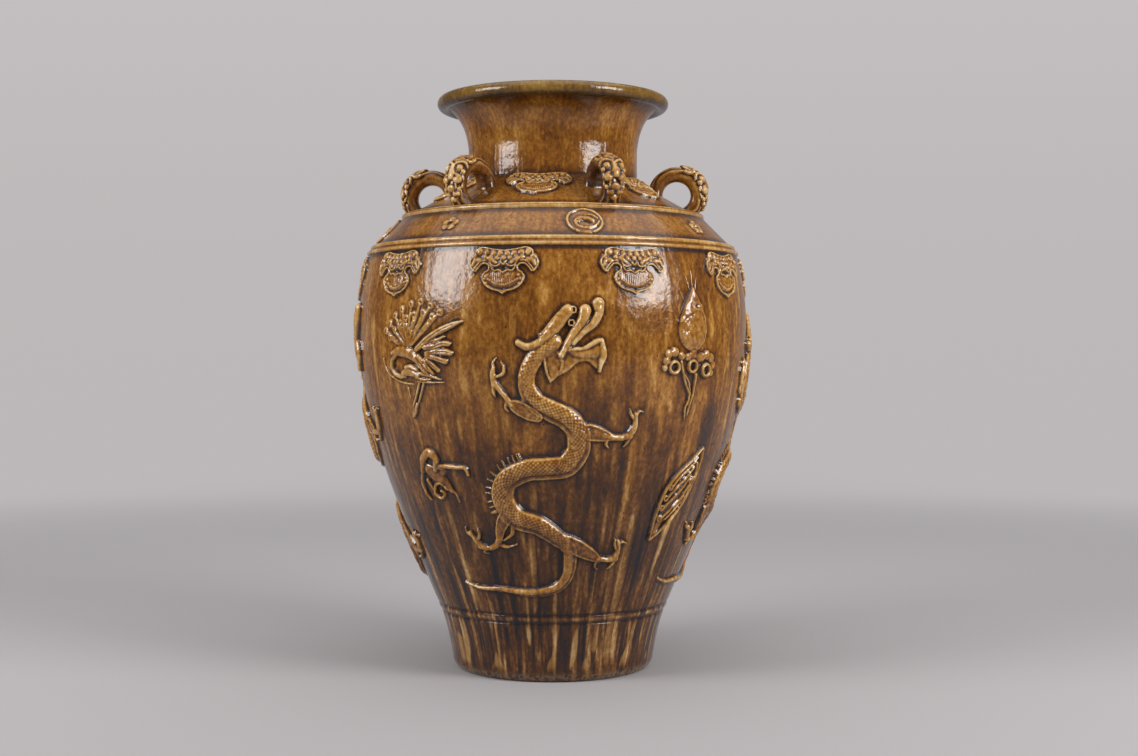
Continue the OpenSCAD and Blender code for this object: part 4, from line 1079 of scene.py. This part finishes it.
# %% Medallion and flower
BAND_Z = CORDON_Z + (RIDGE_Z - CORDON_Z) * 0.52
medal_clay = Clay((-22, -22), (22, 22), 0.62)
medal_clay.pad([(17.5 * math.cos(a), 17.5 * math.sin(a)) for a in np.radians(range(0, 360, 15))], 0.9, 2)
medal_clay.ring(0, 0, 17.4, 3.6, 2.6, -62, 242)
medal_clay.rolls(([(-9, -1, 6), (-4, 4, 9), (3, 4, 7), (8, 0, 5)], 3), ([(-10, -2, 3.4), (-7, -8, 4),
    (2, -10, 4), (11, -6, 3.6), (15, 1, 2.4)], 2.6), ([(2, 9, 3), (8, 9, 3.4), (13, 5, 2.4)], 2.4))
medal_clay.score([(-8, 0, 1.6), (-2, 1, 1.6), (5, -3, 1.6)], 1.2)
medal_clay.settle(0.35)
flower_clay = Clay((-14, -14), (14, 14), 0.55)
for k in range(5):
    turn = math.radians(90 + 72 * k)
    flower_clay.dot(6 * math.cos(turn), 6 * math.sin(turn), 4.2, 2.5, 0.2)
flower_clay.ring(0, 0, 4.2, 3, 2.4)
flower_clay.hole(0, 0, 3, 2.4)
flower_clay.settle(0.35)
print("band grids", medal_clay.X.shape, flower_clay.X.shape)

# %% [markdown]
# ## Lugs with beast masks
# Six strap lugs took the cord that tied the cover down. Each is a roll of clay arched over the shoulder,
# combed into strands like a mane, with its feet smeared into the wall, and a beast's face pressed on the
# outside of the arch.

# %% The strap
LUG_SEAT_Z, LUG_LIFT, EYE_R, STRAP_T, STRAP_W = RIDGE_Z + 14, 9, 15.5, 13.5, 20
EYE = (float(wall_radius(LUG_SEAT_Z)), LUG_SEAT_Z + LUG_LIFT)
STRAP_R = EYE_R + STRAP_T / 2
CROWN, CROWN_AT = 3.2, math.radians(70)  # the strap is thickest at the top of its arch
ARCH = np.radians(np.linspace(-64, 196, 100))
ROUND = np.radians(np.linspace(0, 360, 56, endpoint=False))


def rounded(wave):
    """A sine or cosine that makes a strap's section a little squarer than an oval."""
    return np.sign(wave) * np.abs(wave) ** 0.8


def strap_point(arch, out, side):
    """Metres, at the front: out from the middle of the strap, and sideways."""
    out = (out + CROWN * np.clip(out / STRAP_T + 0.5, 0, 1)
           * np.clip(np.cos((arch - CROWN_AT) / 1.5), 0, 1))
    reach = EYE[0] + (STRAP_R + out) * np.cos(arch)
    return np.stack([side + 0 * arch, -reach, EYE[1] + (STRAP_R + out) * np.sin(arch)], -1) * MM


arch, turn = np.meshgrid(ARCH, ROUND, indexing="ij")
step = (arch - ARCH[0]) / (ARCH[-1] - ARCH[0])
splay = np.clip(np.abs(step - 0.5) * 2 - 0.55, 0, 1) / 0.45
strands = 0.5 + 0.5 * np.cos(9 * turn + 3 * arch + 0.8 * np.sin(5 * arch)
                             + 0.5 * np.sin(11 * arch + 2 * turn))
on_back = np.clip(0.35 + np.cos(turn), 0, 1)
groove = -0.9 * (1 - strands) ** 2 * on_back * (1 - 0.6 * splay)
thick = STRAP_T / 2 * (1 + 0.12 * splay) + groove
wide = STRAP_W / 2 * (1 + 0.28 * splay**2) + groove
rings = strap_point(arch, thick * rounded(np.cos(turn)), wide * rounded(np.sin(turn)))
count, around = rings.shape[:2]
index = np.arange(count * around).reshape(count, around)
beyond = np.roll(index, -1, axis=1)
strap_faces = np.stack([index[:-1], index[1:], beyond[1:], beyond[:-1]], -1).reshape(-1, 4).tolist()
strap_faces += [index[0].tolist(), index[-1][::-1].tolist()]
strap_mesh = bpy.data.meshes.new("strap")
strap_mesh.from_pydata(rings.reshape(-1, 3).tolist(), [], strap_faces)
strap_mesh.shade_smooth()
# Glaze pooled between the mane's strands and at the strap's feet and thin on the strands, with painted
# shade in the grooves and at the feet, a painted highlight on the strands, and painted shade on the strap's
# inner side that faces the wall.
write_pool(strap_mesh, np.clip(0.55 * (1 - strands) * on_back * 1.6 - 0.35 * strands * on_back
                               + 0.5 * splay**3 + 0.3 * (1 - on_back), -1, 1).ravel())
print("strap", len(strap_mesh.polygons) * 2, "triangles")

# %% The beast's face, pressed over the strap
FACE_MIDDLE, FACE_WRAP = math.radians(24), 10.6  # along the arch, and millimetres for each radian round it
face_clay = Clay((-17, -31), (17, 31), 0.55)
crown = [(0, 29), (7, 27), (11, 22), (13.4, 15), (12.4, 9), (14, 3), (12, -4), (13, -10), (10, -17),
    (7, -22), (3, -27), (0, -29)]
face_clay.pad(crown + [(-x, y) for x, y in crown[-2:0:-1]], 1.7, 1.6)
for x0, y0, x1, y1 in ((2, 28, 4, 21), (6, 26, 8, 18), (10, 0, 13.4, -8), (10, -7, 12, -15)):
    both(face_clay.roll, [(x0, y0, 4), ((x0 + x1) / 2 + 0.9, (y0 + y1) / 2, 4.6), (x1, y1, 2.4)], 2.6,
        veined)
both(face_clay.roll, [(8.6, 14, 5), (12.6, 18, 5), (13.6, 24, 2.4)], 4.2)
both(face_clay.score, [(10.4, 16, 1.6), (12.8, 20.6, 1.2)], 1.8)
lobes(face_clay, [(0, 19, 4.4), (4, 14.6, 3.6), (0, 12.4, 3.2)], 2.6)
both(face_clay.roll, [(1.2, 7.4, 3.2), (5.4, 10.4, 4.4), (10.4, 10.6, 4), (14, 7, 2)], 4.8)
lobes(face_clay, [(6.2, 4.2, 4.2), (6.4, -6.4, 5), (11.4, 1.4, 2.8)], 3.2, 0.8)
for side in (-1, 1):
    face_clay.dot(side * 6.2, 4.2, 2.2, 1.6)
    face_clay.hole(side * 6.4, 4.2, 1, 1.4)
face_clay.roll([(0, 6, 4.4), (0, 1, 6), (0, -3.4, 9.6)], 5)
lobes(face_clay, [(3.6, -3.4, 3)], 2.4)
for side in (-1, 1):
    face_clay.hole(side * 3.6, -4, 1.5, 2.6)
both(face_clay.score, [(0, -9, 2), (4, -12.4, 2.6), (9, -12.6, 2.4), (13, -8, 1.6)], 2.8)
both(face_clay.roll, [(4.6, -11.4, 2.6), (5, -14.4, 2), (4.6, -17, 1)], 3.4)
lobes(face_clay, [(0, -15.4, 4.2), (8.4, -16, 3), (2.6, -20.6, 2.8), (6.2, -20.6, 2.6), (0, -25, 2.6)], 2.6)
face_clay.settle(0.34)


def over_strap(x, y, out):
    """Along the strap's arch, and round its back from side to side."""
    side = x / FACE_WRAP
    outward = STRAP_T / 2 * rounded(np.cos(side)) + out * np.cos(side)
    return strap_point(FACE_MIDDLE + y / (EYE_R + STRAP_T), outward,
                       STRAP_W / 2 * rounded(np.sin(side)) + out * np.sin(side))


print("face grid", face_clay.X.shape)

# %% Everything laid round the jar
def numbered_nodes(name, count):
    return [f"{name}_{k + 1}" for k in range(count)]


def flattened(z):
    """How much shorter a patch looks, from the side, where the wall leans."""
    return float(np.cos(wall_tilt(z)))


SLOPE_Z = NECK_Z - 14
# Piece, patch, height, how many, first bearing, squash, nodes, and into how many pieces it is split
layout = [("climbing_dragon", dragon_clay, DRAGON_Z, 4, 0, 1.0, "dragon", 4),
          ("phoenix_pair", phoenix_clay, PHOENIX_Z, 2, -43, 1.0, "phoenix", 1),
          ("pearl_pair", pearl_clay, PEARL_Z, 2, 41.5, 1.0, "flaming_pearl", 1),
          ("duck_pair", duck_clay, DUCK_Z, 2, -38, 1.0, "duck", 1),
          ("cloud_pair", cloud_clay, CLOUD_Z, 2, 44.6, 1.0, "cloud", 1),
          ("hanging_ruyi", ruyi_clay, CORDON_Z - 30, 10, 22.5, 1.0, "hanging_mask", 2),
          ("slope_ruyi", ruyi_clay, SLOPE_Z, 6, 52, flattened(SLOPE_Z) * 1.05, "shoulder_mask", 1),
          ("medallions", medal_clay, BAND_Z, 4, 10, flattened(BAND_Z), "medallion", 1),
          ("flowers", flower_clay, BAND_Z, 4, 55, flattened(BAND_Z), "band_flower", 1)]
figures, laid = [], []
for name, clay, height, count, first, squash, node, split in layout:
    mesh = moulded(name, clay, on_jar(height, squash))
    pitch, each = 360 / count, count // split
    laid.append((clay, height, squash, [first + k * pitch for k in range(count)]))
    nodes = numbered_nodes(node, count)
    for part in range(split):
        label = name if split == 1 else f"{name}_{part + 1}"
        piece = ringed(label, mesh.copy(), each, first + part * each * pitch, pitch, relief_glaze)
        figures.append((piece, nodes[part * each:(part + 1) * each], "pale_relief"))
LUG_COUNT, LUG_FIRST = 6, 22
face_mesh = moulded("lug_face", face_clay, over_strap)
lugs, lug_faces = (ringed(name, mesh, LUG_COUNT, LUG_FIRST, 360 / LUG_COUNT, lug_glaze)
                   for name, mesh in (("lug_straps", strap_mesh), ("lug_faces", face_mesh)))

# %% [markdown]
# ## Where the glaze gathers, and shade is painted, on the wall
# The wall must know about the clay laid on it: glaze stops against each figure and fills the cordons'
# corners and the tooled grooves, and the same darkening paints shade beside the figures, under the cordons
# and under the lip. Each wall vertex looks up the pool field of every patch near it.

# %% Pools and painted shade on the wall
BESIDE_CLAY = 0.8  # how dark the ring round a figure is: pooled glaze and painted shade


def pooled(piece, *gathers, level=0.0):
    """Writes a thrown piece's pool and painted shade: beside its patches, and in rings, each a depth,
    height and width.
    """
    at = np.empty(len(piece.data.vertices) * 3, np.float32)
    piece.data.vertices.foreach_get("co", at)
    x, y, z = (at.reshape(-1, 3) / MM).T
    bearing, radius = np.degrees(np.arctan2(x, -y)), np.hypot(x, y)
    outer = radius > wall_radius(np.clip(z, WORN, NECK_Z)) - 3
    pool = np.zeros(len(x))
    for clay, height, squash, bearings in laid:
        for turn in bearings:
            away = (bearing - turn + 180) % 360 - 180
            u, v = np.radians(away) * wall_radius(z), (z - height) / squash
            near = (outer & (np.abs(away) < 75) & (u > clay.X[0, 0]) & (u < clay.X[0, -1])
                    & (v > clay.Y[0, 0]) & (v < clay.Y[-1, 0]))
            pool[near] = np.maximum(pool[near], BESIDE_CLAY * clay.pool_at(u[near], v[near]))
    for depth, centre, width in gathers:
        pool += outer * depth * np.exp(-((z - centre) / width) ** 2)
    pool = np.clip(pool + outer * level, -1, 1)
    write_pool(piece.data, pool)
    print(piece.name, "pool from", round(float(pool.min()), 2), "to", round(float(pool.max()), 2))


# These rings darken the tooled grooves, the wall above and below the cordons, the undersides of the beads,
# the creases between beads and the neck's foot: partly pooled glaze, partly painted shade. The soft ring
# and the cordons are paled a little.
pooled(wall_lower, (0.45, RING_Z - 4.5, 2), (0.45, RING_Z + 4.5, 2), (-0.3, RING_Z, 1.6))
pooled(wall_upper, (0.75, CORDON_Z - 6.4, 2.2))
pooled(wall_shoulder, (0.55, CORDON_Z + 6.4, 3), (0.6, RIDGE_Z - 4, 2.4), (0.5, FINE_Z + 2.6, 2),
       (0.5, NECK_Z, 3))
# Under the rolled lip, the top of the flare and the lip's underside are darkened as painted shade; the rest
# of the lip is paled a little.
pooled(wall_neck, (0.5, NECK_Z, 5), (0.45, TOP_Z - 9, 7))
pooled(lip_roll, (0.5, TOP_Z - 14, 3), level=-0.1)
pooled(cordon_double, (0.9, CORDON_Z, 1.1), (0.5, CORDON_Z - 5.4, 1.2), level=-0.12)
pooled(cordon_shoulder, (0.9, RIDGE_Z + 1.4, 0.35), level=-0.1)

# %% Each piece rides on the jar, and hides the CAD nodes it stands for
stand_ins = [(wall_lower, ["lower_wall"], "amber_glaze"), (wall_upper, ["upper_wall"], "amber_glaze"),
             (wall_shoulder, ["shoulder"], "amber_glaze"), (wall_neck, ["neck"], "amber_glaze"),
             (lip_roll, ["rolled_lip"], "olive_glaze"), (cordon_double, ["double_cordon"], "pale_relief"),
             (cordon_shoulder, ["shoulder_cordon"], "pale_relief"),
             (lugs, numbered_nodes("lug", LUG_COUNT), "olive_glaze"),
             (lug_faces, numbered_nodes("lug_mask", LUG_COUNT), "pale_relief")] + figures
for piece, nodes, slot in stand_ins:
    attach(piece, "root")
    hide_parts(*nodes)
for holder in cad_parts["base_slab"].material_slots:
    holder.material = bare_clay
total = sum(len(piece.data.polygons) * 2 for piece, *_ in stand_ins)
print(len(stand_ins), "pieces,", total, "triangles")

# %% [markdown]
# ## Floor, backdrop and light
# The jar stands on a pale sweep of paper that curves up behind it. Two upright softboxes, one to each
# side in front, give the window-like patches on the belly and the neck, and a wide ceiling light the soft
# sheen on the shoulder. The paper is painted darker in front and lighter behind, painted light that makes
# up for the lamps' fall-off. Paper farther off glows to the camera in a painted pale tone, lighter higher
# up, and the world is shown to the camera in an even pale tone.

# %% Paper sweep
sweep_mesh = bpy.data.meshes.new("sweep")
PALE_LOW, PALE_HIGH = tone(188, 184, 185), tone(205, 201, 202)
SWEEP_W, SWEEP_FRONT, SWEEP_BACK, SWEEP_CURVE, SWEEP_H = 16.0, -6.0, 3.4, 1.3, 4.5
line = [(SWEEP_FRONT, 0.0), (SWEEP_BACK - SWEEP_CURVE, 0.0)]
line += [(SWEEP_BACK - SWEEP_CURVE + SWEEP_CURVE * math.sin(a), SWEEP_CURVE * (1 - math.cos(a)))
         for a in np.radians(np.linspace(0, 90, 25)[1:])]
line += [(SWEEP_BACK, SWEEP_H)]
sweep_mesh.from_pydata([(x, y, z) for y, z in line for x in (-SWEEP_W / 2, SWEEP_W / 2)], [],
                       [(2 * k, 2 * k + 1, 2 * k + 3, 2 * k + 2) for k in range(len(line) - 1)])
sweep_mesh.shade_smooth()
sweep = placed("paper_sweep", sweep_mesh)
bench = Bench("pale_paper")
across, along, up = (bench.make("ShaderNodeSeparateXYZ", None, {0: bench.position()}, out=k)
                     for k in range(3))
# The paper is painted darker in front and lighter towards the back: painted light that makes up for the
# lamps' light falling off with distance.
lit = bench.make("ShaderNodeBsdfPrincipled", None, {
    "Base Color": bench.mixed(along.rising(-1.5, 2.2), tone(150, 146, 147), tone(190, 186, 187)),
    "Roughness": 0.9})
# Farther off, the paper glows to the camera in a painted pale tone, lighter higher up.
haze = bench.make("ShaderNodeEmission", None,
                  {"Color": bench.mixed(up.rising(0.2, 3.2), PALE_LOW, PALE_HIGH)})
seen = bench.make("ShaderNodeLightPath", None, {}, out="Is Camera Ray")
far_off = (across * across + along * along).rising(0.6, 6.5)
bench.show(bench.make("ShaderNodeMixShader", None, {0: far_off * seen, 1: lit, 2: haze}))
sweep_mesh.materials.append(bench.material)
print("sweep has", len(sweep_mesh.polygons), "strips")

# %% Lamps
AIM = (0, 0, 0.36)


def softbox(name, bearing, height, distance, width, tall, power):
    """A soft lamp at a bearing from the front, turned to the belly. Metres and watts."""
    data = bpy.data.lights.new(name, "AREA")
    data.shape, data.size, data.size_y, data.energy = "RECTANGLE", width, tall, power
    lamp = placed(name, data)
    turn = math.radians(bearing)
    lamp.location = (distance * math.sin(turn), -distance * math.cos(turn), height)
    lamp.rotation_euler = (lamp.location - Vector(AIM)).to_track_quat("Z", "Y").to_euler()


softbox("left_softbox", -63, 1.15, 2.0, 0.95, 1.0, 34)
softbox("right_softbox", 55, 1.15, 2.0, 0.95, 1.0, 42)
softbox("ceiling", 0, 3.6, 0.4, 5.0, 5.0, 88)

# %% The world is dim as a light and pale to the camera
world = bpy.data.worlds.new("pale_room")
world.use_nodes = True
tree = world.node_tree
dim = tree.nodes["Background"]
dim.inputs["Color"].default_value, dim.inputs["Strength"].default_value = tone(214, 214, 218), 0.2
pale, either, path = (tree.nodes.new("ShaderNode" + kind)
                      for kind in ("Background", "MixShader", "LightPath"))
pale.inputs["Color"].default_value = PALE_LOW
for out, into in zip((path.outputs["Is Camera Ray"], dim.outputs[0], pale.outputs[0]), either.inputs):
    tree.links.new(out, into)
tree.links.new(either.outputs[0], tree.nodes["World Output"].inputs["Surface"])
bpy.context.scene.world = world
bpy.context.scene.view_settings.view_transform = "Standard"
print("world has", len(tree.nodes), "nodes")
